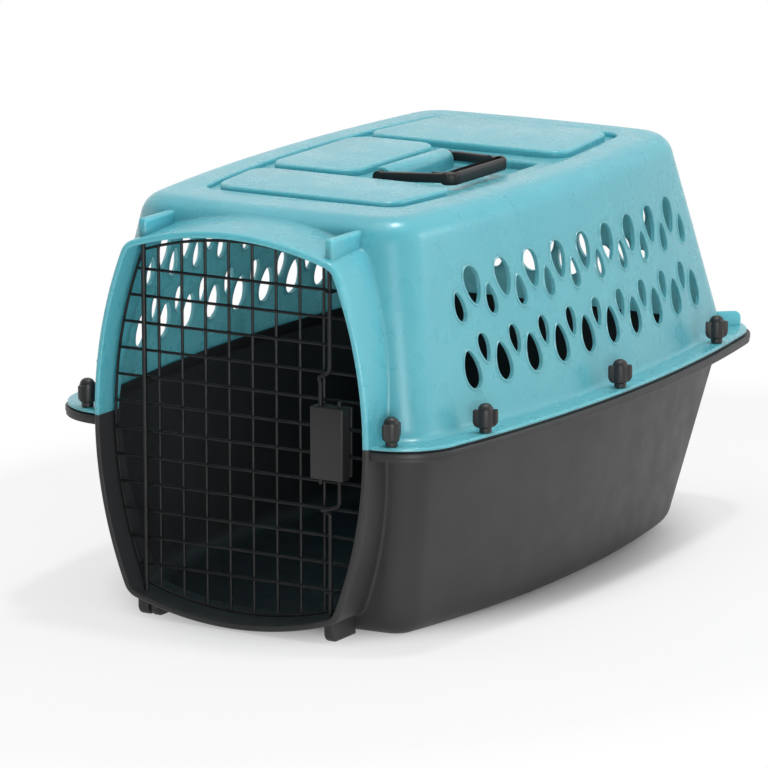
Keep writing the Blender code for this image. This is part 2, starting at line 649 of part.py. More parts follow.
def carry_handle(look):
    """A bail with its origin on the pivot axis: two arms, a channel grip and two pins."""
    pivot = Vector((PIVOT_X, 0, PIVOT_Z))
    grip = box(Vector((GRIP_INNER_X, ARM_FRONT_Y, GRIP_BOTTOM_Z)) - pivot,
               Vector((GRIP_OUTER_X, ARM_BACK_Y, GRIP_TOP_Z)) - pivot)
    outer = [v for v in grip.verts if v.co.x > GRIP_OUTER_X - PIVOT_X - 1e-6]
    corners = [e for e in grip.edges if e.verts[0] in outer and e.verts[1] in outer]
    corners = [e for e in corners if abs(e.verts[0].co.z - e.verts[1].co.z) > GRIP_ROUND]
    bmesh.ops.bevel(grip, geom=corners, offset=HANDLE_CORNER, segments=4, profile=0.5, affect="EDGES")
    level = [e for e in grip.edges if abs(e.verts[0].co.z - e.verts[1].co.z) < 1e-6]
    bmesh.ops.bevel(grip, geom=level, offset=GRIP_ROUND, segments=2, profile=0.5, affect="EDGES")
    handle = new_object("carry_handle", grip, look)
    channel = box(Vector((GRIP_INNER_X - PAST, ARM_FRONT_Y + ARM_WIDTH, GRIP_BOTTOM_Z + GRIP_WALL)) - pivot,
                  Vector((GRIP_OUTER_X - GRIP_WALL, ARM_BACK_Y - ARM_WIDTH, GRIP_TOP_Z - GRIP_WALL)) - pivot)
    boolean(handle, "DIFFERENCE", [helper("grip channel", channel)])
    added = []
    rise = GRIP_BOTTOM_Z + GRIP_ROUND - PIVOT_Z
    reach = (GRIP_INNER_X + GRIP_OUTER_X) / 2 - PIVOT_X
    for label, outer, out in (("front", ARM_FRONT_Y, -1), ("back", ARM_BACK_Y, 1)):
        inner = outer - out * ARM_WIDTH
        trim = out * ARM_TRIM
        profile = [(0, -ARM_HEIGHT / 2), (reach, rise), (reach, rise + ARM_HEIGHT), (0, ARM_HEIGHT / 2)]
        added.append(helper(f"{label} arm", prism_y(profile, outer - trim, inner + trim)))
        added.append(helper(f"{label} boss", cylinder((0, outer, 0), (0, inner, 0), BOSS_R, 16)))
        pin = cylinder((0, (outer + inner) / 2, 0), (0, inner - out * PIN_LENGTH, 0), PIN_R)
        added.append(helper(f"{label} pin", pin))
    boolean(handle, "UNION", added)
    handle.location = pivot


def wing_nut_shape():
    """Domed hub on a round stem, with two wings set off to opposite sides."""
    shape = bmesh.new()
    dome = NUT_HUB_TOP - NUT_DOME
    profile = [(NUT_STEM_R, 0), (NUT_STEM_R, NUT_STEM - NUT_CHAMFER), (NUT_HUB_R, NUT_STEM),
               (NUT_HUB_R, dome - NUT_DOME), (NUT_HUB_R - NUT_DOME, dome), (0, NUT_HUB_TOP)]
    bore = [(0, NUT_BORE_TOP), (BOLT_HOLE_R, NUT_BORE_TOP - NUT_CHAMFER), (BOLT_HOLE_R, 0)]
    points = [shape.verts.new((r, 0, z)) for r, z in bore + profile]
    for first, second in zip(points, points[1:]):
        shape.edges.new((first, second))
    bmesh.ops.spin(shape, geom=shape.verts[:] + shape.edges[:], cent=(0, 0, 0), axis=(0, 0, 1),
                   angle=2 * pi, steps=12)
    bmesh.ops.remove_doubles(shape, verts=shape.verts[:], dist=1e-6)
    return shape


def wing(sign):
    left, right = sorted((sign * WING_ROOT, sign * WING_REACH))
    middle = sign * WING_OFFSET
    return box((left, middle - WING_THICK / 2, WING_BOTTOM), (right, middle + WING_THICK / 2, WING_TOP))


def fasteners(nut_look, bolt_look):
    """A wing nut above and a bolt below at each of the eight places."""
    head_top = SEAM_Z - GAP - WALL - GAP
    for name, x, y, turn in fastener_places():
        nut = new_object(f"wing_nut_{name}", wing_nut_shape(), nut_look)
        wings = [helper(f"{name} wing {sign}", wing(sign)) for sign in (-1, 1)]
        boolean(nut, "UNION", wings)
        nut.location = (x, y, SEAM_Z + FLANGE_THICK + GAP)
        nut.rotation_euler = (0, 0, turn)
        bolt = new_object(f"bolt_{name}", cylinder((0, 0, -BOLT_HEAD), (0, 0, 0), BOLT_HEAD_R), bolt_look)
        shank = helper(f"{name} shank", cylinder((0, 0, -OVERLAP), (0, 0, SHANK_TOP), BOLT_R))
        boolean(bolt, "UNION", [shank])
        bolt.location = (x, y, head_top)


def build():
    clear_scene()
    shell_look = material("turquoise plastic", TURQUOISE, 0.35)
    grey_look = material("dark grey plastic", DARK_GREY, 0.5)
    fitting_look = material("fitting plastic", DARK_GREY, 0.45)
    wire_look = material("black coated wire", BLACK, 0.4, 0.2)
    steel_look = material("spring steel", STEEL, 0.35, 1.0)
    top_shell(shell_look)
    bottom_shell(grey_look)
    door_grille(wire_look)
    hinge_rod(wire_look)
    latch_cover(fitting_look)
    latch_rods(wire_look, steel_look)
    rod_guides(wire_look)
    carry_handle(fitting_look)
    fasteners(fitting_look, steel_look)


build()
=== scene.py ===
# %% [markdown]
# # A pet transport carrier
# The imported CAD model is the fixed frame. Each cell below models one piece of the real carrier
# more finely than the CAD needs to, gives it a finish, and lets it ride on the CAD body it belongs to.

# %% Load the frame
import json
from math import asin, cos, pi, radians, sin

import bmesh
import bpy
from mathutils import Matrix, Vector
from mathutils.bvhtree import BVHTree

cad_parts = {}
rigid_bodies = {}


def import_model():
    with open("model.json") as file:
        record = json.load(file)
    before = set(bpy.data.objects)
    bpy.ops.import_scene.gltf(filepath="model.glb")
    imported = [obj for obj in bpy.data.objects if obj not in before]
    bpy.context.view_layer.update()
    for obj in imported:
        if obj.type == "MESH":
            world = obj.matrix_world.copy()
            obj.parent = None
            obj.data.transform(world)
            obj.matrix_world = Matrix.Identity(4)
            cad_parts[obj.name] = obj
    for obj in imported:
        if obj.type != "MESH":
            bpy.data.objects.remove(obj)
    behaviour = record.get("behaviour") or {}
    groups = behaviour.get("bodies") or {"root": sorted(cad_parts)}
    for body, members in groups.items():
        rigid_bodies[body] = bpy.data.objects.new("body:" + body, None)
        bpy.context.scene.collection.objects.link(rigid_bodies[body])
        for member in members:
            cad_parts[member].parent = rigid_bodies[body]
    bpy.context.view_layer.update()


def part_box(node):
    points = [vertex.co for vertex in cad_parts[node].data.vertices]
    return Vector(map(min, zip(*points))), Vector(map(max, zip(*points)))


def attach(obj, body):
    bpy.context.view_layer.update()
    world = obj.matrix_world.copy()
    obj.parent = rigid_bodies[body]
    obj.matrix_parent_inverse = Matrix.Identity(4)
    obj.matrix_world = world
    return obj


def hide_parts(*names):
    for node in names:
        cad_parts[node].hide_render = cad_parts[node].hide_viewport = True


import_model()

# %% [markdown]
# ## Sizes
# The frame says where the seam between the shells is, how far the rim reaches and where the collar
# stands. The other sizes are the moulding's own: draft, bow and radii, in metres. A level holds the half
# width, front, back and corner radius of the body's plan at one height, and the radius its sides bow to.

# %% Sizes of the two shells
upper_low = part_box("top_shell")[0]
lower_low, lower_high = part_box("bottom_shell")
SEAM = upper_low.z
RIM_TOP = lower_high.z
COLLAR_FRONT = lower_low.y
WALL = 0.003
PAST = 0.010
FAR = 0.6
DECK, DECK_RISE, DECK_MARGIN = 0.388, 0.009, 0.004
SHOULDER, WALL_SLOPE = 0.025, radians(13)
SIDE_BOW, FLOOR_BOW = 1.64, 1.25
WALL_BOW, FLANGE_BOW = 0.004, 0.003
SEAM_LEVEL = (0.2065, -0.314, 0.3145, 0.036, SIDE_BOW)
FLOOR_LEVEL = (0.181, -0.293, 0.238, 0.030, FLOOR_BOW)
DECK_LEVEL = (0.1445, -0.262, 0.2485, 0.022, SIDE_BOW)
FLANGE_LEVEL = (0.231, -0.340, 0.338, 0.060, SIDE_BOW)
FLANGE_THICK, FLANGE_LIP, FLANGE_FILLET = 0.003, 0.0012, 0.006
print(f"seam at {SEAM * 1000:.1f} mm, collar front at {COLLAR_FRONT * 1000:.1f} mm")

# %% [markdown]
# ## Outlines
# Everything on the carrier is a rectangle with bowed edges and round corners: its plan at each height
# and the door opening too. Such an outline could be a curve object. Here one function lays it out of eight
# arcs instead, because its points then always come in the same order and number, which a loft needs.

# %% Outline helpers
def bowed_outline(half, front, back, side_sag, end_sag, corner, end_steps, side_steps, corner_steps):
    """Points round a rectangle with bowed edges and round corners, anticlockwise."""
    across = half - corner - side_sag
    near, far = front + corner + end_sag, back - corner - end_sag
    corners = [Vector((-across, near)), Vector((across, near)), Vector((across, far)), Vector((-across, far))]
    edges = []
    for k, (sag, steps) in enumerate(((end_sag, end_steps), (side_sag, side_steps)) * 2):
        start, end = corners[k], corners[(k + 1) % 4]
        along = (end - start).normalized()
        out = Vector((along.y, -along.x))
        chord = (end - start).length / 2
        radius = (chord * chord + sag * sag) / (2 * sag)
        middle = (start + end) / 2 + out * (sag - radius)
        reach = asin(chord / radius)
        turns = [reach * (2 * i / steps - 1) for i in range(steps + 1)]
        normals = [out * cos(t) + along * sin(t) for t in turns]
        edges.append([(middle + n * radius, n) for n in normals])
    points = []
    for k, edge in enumerate(edges):
        points += [point + normal * corner for point, normal in edge]
        pivot, first = edge[-1]
        last = edges[(k + 1) % 4][0][1]
        points += [pivot + first.slerp(last, i / corner_steps) * corner for i in range(1, corner_steps)]
    return points


def plan(level, z, end_bow=WALL_BOW, steps=(56, 110, 14)):
    """The body's outline at one height."""
    half, front, back, corner, bow = level
    chord = (back - front) / 2 - corner
    side_bow = chord * chord / (2 * bow)
    outline = bowed_outline(half, front, back, side_bow, end_bow, corner, *steps)
    return [Vector((p.x, p.y, z)) for p in outline]


def grown(level, by):
    """A level moved outwards all round."""
    half, front, back, corner, bow = level
    return (half + by, front - by, back + by, corner + by, bow)


def between(low, high, part):
    """A level part of the way from one to another."""
    return tuple(a + (b - a) * part for a, b in zip(low, high))


def climbing(ring, share=1.0):
    """The roof is a little higher at the back: a loop raised by its share of that climb."""
    return [Vector((p.x, p.y, p.z + DECK_RISE * share * p.y)) for p in ring]


print("points round the body:", len(plan(SEAM_LEVEL, SEAM)))

# %% [markdown]
# ## Modelling helpers
# A moulded shell has no sharp breaks, so it is lofted: the loft starts from one loop of edges, and every
# further loop is an extrusion of the last one, moved to its own outline. A small integer layer remembers
# each vertex's place along the loop, because an extrusion copies it. Solids are then joined and cut with
# Boolean modifiers. They are applied at once, so that a later cut sees the result of an earlier one.

# %% Loft
def loft(rings):
    """Skin through loops of equal count, closed by end caps."""
    shape = bmesh.new()
    place = shape.verts.layers.int.new("place")
    verts = [shape.verts.new(p) for p in rings[0]]
    for i, vert in enumerate(verts):
        vert[place] = i
    first = [shape.edges.new(pair) for pair in zip(verts, verts[1:] + verts[:1])]
    loop = first
    for ring in rings[1:]:
        made = bmesh.ops.extrude_edge_only(shape, edges=loop)["geom"]
        fresh = {item for item in made if isinstance(item, bmesh.types.BMVert)}
        for vert in fresh:
            vert.co = ring[vert[place]]
        loop = [e for e in made if isinstance(e, bmesh.types.BMEdge) and set(e.verts) <= fresh]
    bmesh.ops.contextual_create(shape, geom=first)
    bmesh.ops.contextual_create(shape, geom=loop)
    bmesh.ops.recalc_face_normals(shape, faces=shape.faces[:])
    return shape


# %% Objects and Booleans
def solid(name, shape):
    """A bmesh as an object at the origin."""
    mesh = bpy.data.meshes.new(name)
    shape.to_mesh(mesh)
    shape.free()
    made = bpy.data.objects.new(name, mesh)
    bpy.context.scene.collection.objects.link(made)
    return made


def melted(piece):
    """An object turned back into a bmesh."""
    shape = bmesh.new()
    shape.from_mesh(piece.data)
    bpy.data.objects.remove(piece)
    return shape


def settle(piece):
    """Apply the modifiers of a piece."""
    bpy.context.view_layer.update()
    graph = bpy.context.evaluated_depsgraph_get()
    done = bpy.data.meshes.new_from_object(piece.evaluated_get(graph))
    piece.modifiers.clear()
    piece.data = done
    return piece


def carve(piece, operation, shapes):
    """Join or cut a piece with closed shapes."""
    tools = [solid(f"{piece.name} tool {i}", shape) for i, shape in enumerate(shapes)]
    for tool in tools:
        step = piece.modifiers.new(tool.name, "BOOLEAN")
        step.operation = operation
        step.solver = "MANIFOLD"
        step.object = tool
    settle(piece)
    for tool in tools:
        bpy.data.objects.remove(tool)
    return piece


# %% Boxes, bars and turned shapes
TOUCH = 1e-6
FACING = 0.9


def soft_edges(shape, picked, radius, segments):
    """Round some edges of a shape."""
    bmesh.ops.bevel(shape, geom=picked, offset=radius, segments=segments, profile=0.5,
                    affect="EDGES", material=-1)


def edges_facing(shape, axis):
    """The edges round the faces that look along an axis."""
    return [e for e in shape.edges if any(abs(f.normal[axis]) > FACING for f in e.link_faces)]


def block(low, high, radius=0.0, segments=3):
    """A box with rounded edges."""
    shape = bmesh.new()
    low, high = Vector(low), Vector(high)
    place = Matrix.Translation((low + high) / 2) @ Matrix.Diagonal((*(high - low), 1.0))
    bmesh.ops.create_cube(shape, size=1.0, matrix=place)
    if radius:
        soft_edges(shape, shape.edges[:], radius, segments)
    return shape


def rod(start, end, radius, sides=16):
    """A straight round bar."""
    shape = bmesh.new()
    start, end = Vector(start), Vector(end)
    turn = (end - start).to_track_quat("Z", "Y").to_matrix().to_4x4()
    place = Matrix.Translation((start + end) / 2) @ turn
    bmesh.ops.create_cone(shape, cap_ends=True, segments=sides, radius1=radius, radius2=radius,
                          depth=(end - start).length, matrix=place)
    return shape


def turned(profile, steps=32):
    """Spin a profile of (radius, height) points round the Z axis."""
    shape = bmesh.new()
    points = [shape.verts.new((r, 0, z)) for r, z in profile]
    for pair in zip(points, points[1:]):
        shape.edges.new(pair)
    bmesh.ops.spin(shape, geom=shape.verts[:] + shape.edges[:], cent=(0, 0, 0), axis=(0, 0, 1),
                   angle=2 * pi, steps=steps, use_merge=True)
    bmesh.ops.remove_doubles(shape, verts=shape.verts[:], dist=TOUCH)
    bmesh.ops.recalc_face_normals(shape, faces=shape.faces[:])
    return shape


def merged(shapes):
    """Several shapes in one bmesh."""
    whole = bmesh.new()
    for shape in shapes:
        mesh = bpy.data.meshes.new("part")
        shape.to_mesh(mesh)
        shape.free()
        whole.from_mesh(mesh)
        bpy.data.meshes.remove(mesh)
    return whole


# %% Wires
BEND_SHARE = 0.48


def swept(paths, radius, closed=False, smoothness=3):
    """Round wires along several paths, as one bmesh."""
    curve = bpy.data.curves.new("path", "CURVE")
    curve.dimensions = "3D"
    curve.bevel_depth = radius
    curve.bevel_resolution = smoothness
    curve.use_fill_caps = True
    for path in paths:
        spline = curve.splines.new("POLY")
        spline.points.add(len(path) - 1)
        for point, place in zip(spline.points, path):
            point.co = (*place, 1.0)
        spline.use_cyclic_u = closed
    holder = bpy.data.objects.new("path", curve)
    bpy.context.scene.collection.objects.link(holder)
    settled = bpy.data.meshes.new_from_object(holder)
    shape = bmesh.new()
    shape.from_mesh(settled)
    bpy.data.objects.remove(holder)
    bpy.data.meshes.remove(settled)
    bmesh.ops.remove_doubles(shape, verts=shape.verts[:], dist=TOUCH)
    bmesh.ops.recalc_face_normals(shape, faces=shape.faces[:])
    return shape


def bend(start, corner, end, t):
    """A point of the curve that rounds a corner."""
    return start * (1 - t) ** 2 + corner * 2 * t * (1 - t) + end * t ** 2


def rounded_path(corners, radius, steps=6):
    """A path through corners, with each bend rounded by a short curve."""
    corners = [Vector(c) for c in corners]
    path = [corners[0]]
    for before, corner, after in zip(corners, corners[1:], corners[2:]):
        into, out = before - corner, after - corner
        reach = min(radius, into.length * BEND_SHARE, out.length * BEND_SHARE)
        start, end = corner + into.normalized() * reach, corner + out.normalized() * reach
        path += [bend(start, corner, end, i / steps) for i in range(steps + 1)]
    return path + [corners[-1]]


# %% Finishing a piece
SHARP = radians(35)


def finished(piece, body, slot, look, *nodes):
    """Give a piece its shading, finish and body, and hide the CAD nodes it stands for."""
    piece.data.materials.clear()
    piece.data.materials.append(look)
    piece.data.shade_smooth()
    piece.data.set_sharp_from_angle(angle=SHARP)
    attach(piece, body)
    if nodes:
        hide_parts(*nodes)
    print(f"{piece.name}: {len(piece.data.polygons)} faces on {body}")
    return piece


# %% [markdown]
# ## Finishes
# Moulded plastic is never one flat colour: the pigment drifts a little, the mould leaves a fine grain
# and handling polishes it unevenly. A picture could show that, but it would have seams and a fixed
# sharpness. Noise nodes on the piece's own coordinates have neither. Each finish mixes two close tones
# with a slow noise, varies the roughness with another, and bumps the surface with a grain of about a
# millimetre. The turquoise plastic lets some light through, so it also has a little subsurface.

# %% Node helpers
RANGE_SOCKETS = ("From Min", "From Max", "To Min", "To Max")
NOISE_LOW, NOISE_HIGH = 0.35, 0.65


def new_finish(name):
    """A material with its node tree and its main shader."""
    look = bpy.data.materials.new(name)
    look.use_nodes = True
    tree = look.node_tree
    return look, tree, tree.nodes["Principled BSDF"]


def wire_up(tree, source, target):
    tree.links.new(source, target)


def combined(tree, operation, first, second):
    """Two values joined by one Math node."""
    node = tree.nodes.new("ShaderNodeMath")
    node.operation = operation
    wire_up(tree, first, node.inputs[0])
    wire_up(tree, second, node.inputs[1])
    return node.outputs["Value"]


def stretched(tree, value, span, smooth=False):
    """A value carried from one range to another: span holds the ends of both."""
    node = tree.nodes.new("ShaderNodeMapRange")
    if smooth:
        node.interpolation_type = "SMOOTHSTEP"
    for name, limit in zip(RANGE_SOCKETS, span):
        node.inputs[name].default_value = limit
    wire_up(tree, value, node.inputs["Value"])
    return node.outputs["Result"]


def noise(tree, scale, detail=2.0):
    """Noise in the piece's own coordinates, in features per metre."""
    coordinates = tree.nodes.new("ShaderNodeTexCoord")
    texture = tree.nodes.new("ShaderNodeTexNoise")
    texture.inputs["Scale"].default_value = scale
    texture.inputs["Detail"].default_value = detail
    texture.inputs["Roughness"].default_value = 0.5
    wire_up(tree, coordinates.outputs["Object"], texture.inputs["Vector"])
    return texture.outputs["Fac"]


def spread(tree, factor, low, high):
    """A noise, which keeps to its middle values, stretched to a range."""
    return stretched(tree, factor, (NOISE_LOW, NOISE_HIGH, low, high))


def ramp(tree, factor, low, high, first, last):
    """Colours from first to last as the factor goes from low to high."""
    node = tree.nodes.new("ShaderNodeValToRGB")
    for element, position, colour in zip(node.color_ramp.elements, (low, high), (first, last)):
        element.position = position
        element.color = (*colour, 1.0)
    wire_up(tree, factor, node.inputs["Fac"])
    return node.outputs["Color"]


def grain(tree, shader, height, strength, distance):
    """A fine bump on a shader."""
    bump = tree.nodes.new("ShaderNodeBump")
    bump.inputs["Strength"].default_value = strength
    bump.inputs["Distance"].default_value = distance
    wire_up(tree, height, bump.inputs["Height"])
    wire_up(tree, bump.outputs["Normal"], shader.inputs["Normal"])


# %% Moulded plastics
TURQUOISE_DEEP, TURQUOISE_PALE = (0.105, 0.430, 0.510), (0.117, 0.450, 0.525)
CHARCOAL_DEEP, CHARCOAL_PALE = (0.029, 0.029, 0.0305), (0.035, 0.035, 0.0365)
FITTING_DEEP, FITTING_PALE = (0.019, 0.019, 0.019), (0.024, 0.023, 0.023)
TONE_SCALE, TONE_LOW, TONE_HIGH = 9.0, 0.38, 0.62
GLOSS_SCALE, GLOSS_DRIFT = 38.0, 0.04
GRAIN_STRENGTH = 0.35


def moulded(name, deep, pale, gloss, grain_scale, grain_depth):
    """Injection moulded plastic: two close tones, uneven gloss and a fine mould grain."""
    look, tree, shader = new_finish(name)
    tone = ramp(tree, noise(tree, TONE_SCALE, 3.0), TONE_LOW, TONE_HIGH, deep, pale)
    wire_up(tree, tone, shader.inputs["Base Color"])
    polish = spread(tree, noise(tree, GLOSS_SCALE, 4.0), gloss - GLOSS_DRIFT, gloss + GLOSS_DRIFT)
    wire_up(tree, polish, shader.inputs["Roughness"])
    grain(tree, shader, noise(tree, grain_scale), GRAIN_STRENGTH, grain_depth)
    return look


def set_shader(look, **values):
    """Constants on a finish's shader, such as Specular_IOR_Level."""
    sockets = look.node_tree.nodes["Principled BSDF"].inputs
    for name, value in values.items():
        sockets[name.replace("_", " ")].default_value = value


turquoise = moulded("turquoise moulding", TURQUOISE_DEEP, TURQUOISE_PALE, 0.29, 1100.0, 0.000015)
set_shader(turquoise, Subsurface_Weight=0.55, Subsurface_Radius=(0.8, 1.0, 1.0), Subsurface_Scale=0.022)
charcoal = moulded("charcoal moulding", CHARCOAL_DEEP, CHARCOAL_PALE, 0.44, 900.0, 0.00005)
set_shader(charcoal, Specular_IOR_Level=0.3)
fitting = moulded("fitting moulding", FITTING_DEEP, FITTING_PALE, 0.42, 1300.0, 0.00005)
set_shader(fitting, Specular_IOR_Level=0.35)
print("plastics:", [look.name for look in (turquoise, charcoal, fitting)])

# %% Wire coat and steel
METAL_LOW, METAL_HIGH = 0.4, 0.6
COAT_DEEP, COAT_PALE = (0.007, 0.007, 0.008), (0.012, 0.012, 0.013)
STEEL_DEEP, STEEL_PALE = (0.42, 0.42, 0.44), (0.54, 0.54, 0.55)


def coated_wire():
    """Black dip coat on steel wire: smooth, a little uneven, fairly glossy."""
    look, tree, shader = new_finish("black wire coat")
    tone = ramp(tree, noise(tree, 60.0, 3.0), METAL_LOW, METAL_HIGH, COAT_DEEP, COAT_PALE)
    wire_up(tree, tone, shader.inputs["Base Color"])
    wire_up(tree, spread(tree, noise(tree, 160.0, 3.0), 0.30, 0.42), shader.inputs["Roughness"])
    shader.inputs["Specular IOR Level"].default_value = 0.25
    grain(tree, shader, noise(tree, 500.0, 1.0), 0.3, 0.00008)
    return look


def drawn_steel():
    """Zinc plated steel of the springs and bolts."""
    look, tree, shader = new_finish("plated steel")
    tone = ramp(tree, noise(tree, 90.0, 3.0), METAL_LOW, METAL_HIGH, STEEL_DEEP, STEEL_PALE)
    wire_up(tree, tone, shader.inputs["Base Color"])
    shader.inputs["Metallic"].default_value = 1.0
    wire_up(tree, spread(tree, noise(tree, 220.0, 4.0), 0.26, 0.44), shader.inputs["Roughness"])
    grain(tree, shader, noise(tree, 2000.0, 1.0), 0.2, 0.00003)
    return look


wire_coat, steel = coated_wire(), drawn_steel()
print("metals:", [look.name for look in (wire_coat, steel)])

# %% [markdown]
# ## The door opening
# A collar stands out of the front of both shells and frames the door. Its outline is a barrel, its upper
# side climbs towards the roof like a hood, and a small flare joins it to the front wall. A bevel on the
# finished joint would fail where the wall bows, so the flare is part of the collar's own loft. It ends on
# the wall behind it, which is found by shooting rays at the plain wall.

# %% Outline of the opening
OPENING_HALF, OPENING_HALF_HEIGHT, OPENING_MID = 0.142, 0.1795, 0.187
OPENING_SIDE_SAG, OPENING_ARCH_SAG, OPENING_CORNER = 0.0295, 0.0155, 0.014
OPENING_END, COLLAR_END, HOOD_LIFT = -0.215, -0.255, 0.006


def barrel(offset, lift=0.0, steps=(44, 64, 12)):
    """The opening's outline as (x, z) points, grown by offset, its upper half stretched by lift."""
    half_z = OPENING_HALF_HEIGHT + offset
    outline = bowed_outline(OPENING_HALF + offset, -half_z, half_z, OPENING_SIDE_SAG, OPENING_ARCH_SAG,
                            OPENING_CORNER + offset, *steps)
    stretch = 1 + lift / half_z
    return [(p.x, OPENING_MID + p.y * (stretch if p.y > 0 else 1)) for p in outline]


def hood_lift(y):
    """How much the hood has climbed at a place along the collar."""
    return HOOD_LIFT * (y - COLLAR_FRONT) / (COLLAR_END - COLLAR_FRONT)


print(f"opening {2 * OPENING_HALF * 1000:.0f} by {2 * OPENING_HALF_HEIGHT * 1000:.0f} mm")

# %% Plain walls
SHOULDER_LEVEL = grown(DECK_LEVEL, SHOULDER * cos(WALL_SLOPE))
SHOULDER_Z = DECK - SHOULDER + SHOULDER * sin(WALL_SLOPE)


def wall_rings(far_level, far_z, steps=24):
    """Loops of the plain wall from beyond the seam to the far height."""
    start = SEAM + (PAST if far_z < SEAM else -PAST)
    rings = []
    for i in range(steps + 1):
        z = start + (far_z - start) * i / steps
        part = (z - SEAM) / (far_z - SEAM)
        ring = plan(between(SEAM_LEVEL, far_level, part), z)
        rings.append(climbing(ring, max(part, 0.0) if far_z > SEAM else 0.0))
    return rings


def shoulder_rings(inset, ceiling, steps=9):
    """Loops over the round shoulder to the deck."""
    rings = []
    reach = SHOULDER - inset
    for i in range(1, steps + 1):
        turn = WALL_SLOPE + (pi / 2 - WALL_SLOPE) * i / steps
        z = ceiling - reach + reach * sin(turn)
        rings.append(climbing(plan(grown(DECK_LEVEL, reach * cos(turn)), z)))
    rings.append(climbing(plan(grown(DECK_LEVEL, -DECK_MARGIN), ceiling)))
    return rings


upper_wall = BVHTree.FromBMesh(loft(wall_rings(SHOULDER_LEVEL, SHOULDER_Z) + shoulder_rings(0.0, DECK)))
lower_wall = BVHTree.FromBMesh(loft(wall_rings(FLOOR_LEVEL, 0.0)))


def front_wall(x, z):
    """The y of the plain front wall at a point of the elevation."""
    tree = upper_wall if z > SEAM else lower_wall
    hit = tree.ray_cast(Vector((x, -1.0, z)), Vector((0, 1, 0)))[0]
    return hit.y


print(f"front wall at the seam: y {front_wall(0.0, SEAM) * 1000:.1f} mm")

# %% Collar and the way through it
COLLAR_WALL, COLLAR_FLARE, COLLAR_LOW, COLLAR_ROOT = 0.006, 0.003, 0.0008, 0.030
LIP_OUTSIDE, LIP_INSIDE = 0.0035, 0.001
LIP_TURNS, QUARTER_TURNS = range(0, 91, 15), (0, 30, 60, 90)
FLANK_STEPS, FLARE_STEPS = 8, 6


def collar():
    """The collar as a solid plug, with a round front lip and a flare where it meets the wall."""
    rings = []
    for turn in LIP_TURNS:
        offset = COLLAR_WALL - LIP_OUTSIDE * (1 - sin(radians(turn)))
        y = COLLAR_FRONT + LIP_OUTSIDE * (1 - cos(radians(turn)))
        rings.append([Vector((x, y, z)) for x, z in barrel(offset)])
    lip = rings[-1]
    flush, flared = [], []
    for (x, z), (x_out, z_out) in zip(barrel(COLLAR_WALL), barrel(COLLAR_WALL + COLLAR_FLARE)):
        y = front_wall(x, z)
        z += max(0.0, z - OPENING_MID) * hood_lift(y) / OPENING_HALF_HEIGHT
        z_out += max(0.0, z_out - OPENING_MID) * hood_lift(y) / OPENING_HALF_HEIGHT
        z_out = max(z_out, COLLAR_LOW)
        flush.append(Vector((x, front_wall(x, z), z)))
        flared.append(Vector((x_out, front_wall(x_out, z_out), z_out)))
    foot = [seat + (start - seat).normalized() * COLLAR_FLARE for start, seat in zip(lip, flush)]
    for i in range(1, FLANK_STEPS + 1):
        rings.append([start.lerp(end, i / FLANK_STEPS) for start, end in zip(lip, foot)])
    for i in range(1, FLARE_STEPS + 1):
        rings.append([bend(a, b, c, i / FLARE_STEPS) for a, b, c in zip(foot, flush, flared)])
    rings.append([p + Vector((0, COLLAR_ROOT, 0)) for p in flared])
    return loft(rings)


def opening():
    """Cutter for the way through the collar, rounding its inner lip."""
    rings = [[Vector((x, COLLAR_FRONT - PAST, z)) for x, z in barrel(LIP_INSIDE)]]
    for turn in QUARTER_TURNS:
        y = COLLAR_FRONT + LIP_INSIDE * (1 - cos(radians(turn)))
        offset = LIP_INSIDE * (1 - sin(radians(turn)))
        rings.append([Vector((x, y, z)) for x, z in barrel(offset)])
    rings.append([Vector((x, OPENING_END, z)) for x, z in barrel(0.0, hood_lift(OPENING_END))])
    return loft(rings)


# %% [markdown]
# ## Upper shell
# The upper shell is one thin moulding. A Solidify modifier could thicken a skin, but the real wall changes
# at the flange and under the roof, so an outside and an inside are lofted and cut from each other. The
# outside runs from the flange's edge over its lip, up a concave fillet, along the drafted wall and over
# the shoulder to the deck. The inside is the same, a wall's thickness further in.

# %% Upper shell, outside and inside
FILLET_TURNS, WALL_STEPS = (0, 18, 36, 54, 72, 90), 30
TRAY_DEPTH = 0.0045


def upper_solid():
    """The outside of the upper shell."""
    rings = [plan(FLANGE_LEVEL, SEAM, FLANGE_BOW)]
    top = SEAM + FLANGE_THICK
    for turn in QUARTER_TURNS:
        pull = FLANGE_LIP * (1 - cos(radians(turn)))
        z = top - FLANGE_LIP * (1 - sin(radians(turn)))
        rings.append(plan(grown(FLANGE_LEVEL, -pull), z, FLANGE_BOW))
    for turn in FILLET_TURNS:
        z = top + FLANGE_FILLET * (1 - cos(radians(turn)))
        out = FLANGE_FILLET * (1 - sin(radians(turn)))
        part = (z - SEAM) / (SHOULDER_Z - SEAM)
        rings.append(plan(grown(between(SEAM_LEVEL, SHOULDER_LEVEL, part), out), z))
    foot = top + FLANGE_FILLET
    for i in range(1, WALL_STEPS + 1):
        z = foot + (SHOULDER_Z - foot) * i / WALL_STEPS
        part = (z - SEAM) / (SHOULDER_Z - SEAM)
        rings.append(climbing(plan(between(SEAM_LEVEL, SHOULDER_LEVEL, part), z), part))
    return loft(rings + shoulder_rings(0.0, DECK))


def hollow():
    """The space inside the upper shell."""
    ceiling = DECK - WALL - TRAY_DEPTH
    reach = SHOULDER - WALL
    low = grown(DECK_LEVEL, reach * cos(WALL_SLOPE))
    rings = [plan(grown(SEAM_LEVEL, -WALL), SEAM - PAST), plan(grown(SEAM_LEVEL, -WALL), SEAM)]
    rings.append(climbing(plan(low, ceiling - reach + reach * sin(WALL_SLOPE))))
    return loft(rings + shoulder_rings(WALL, ceiling))


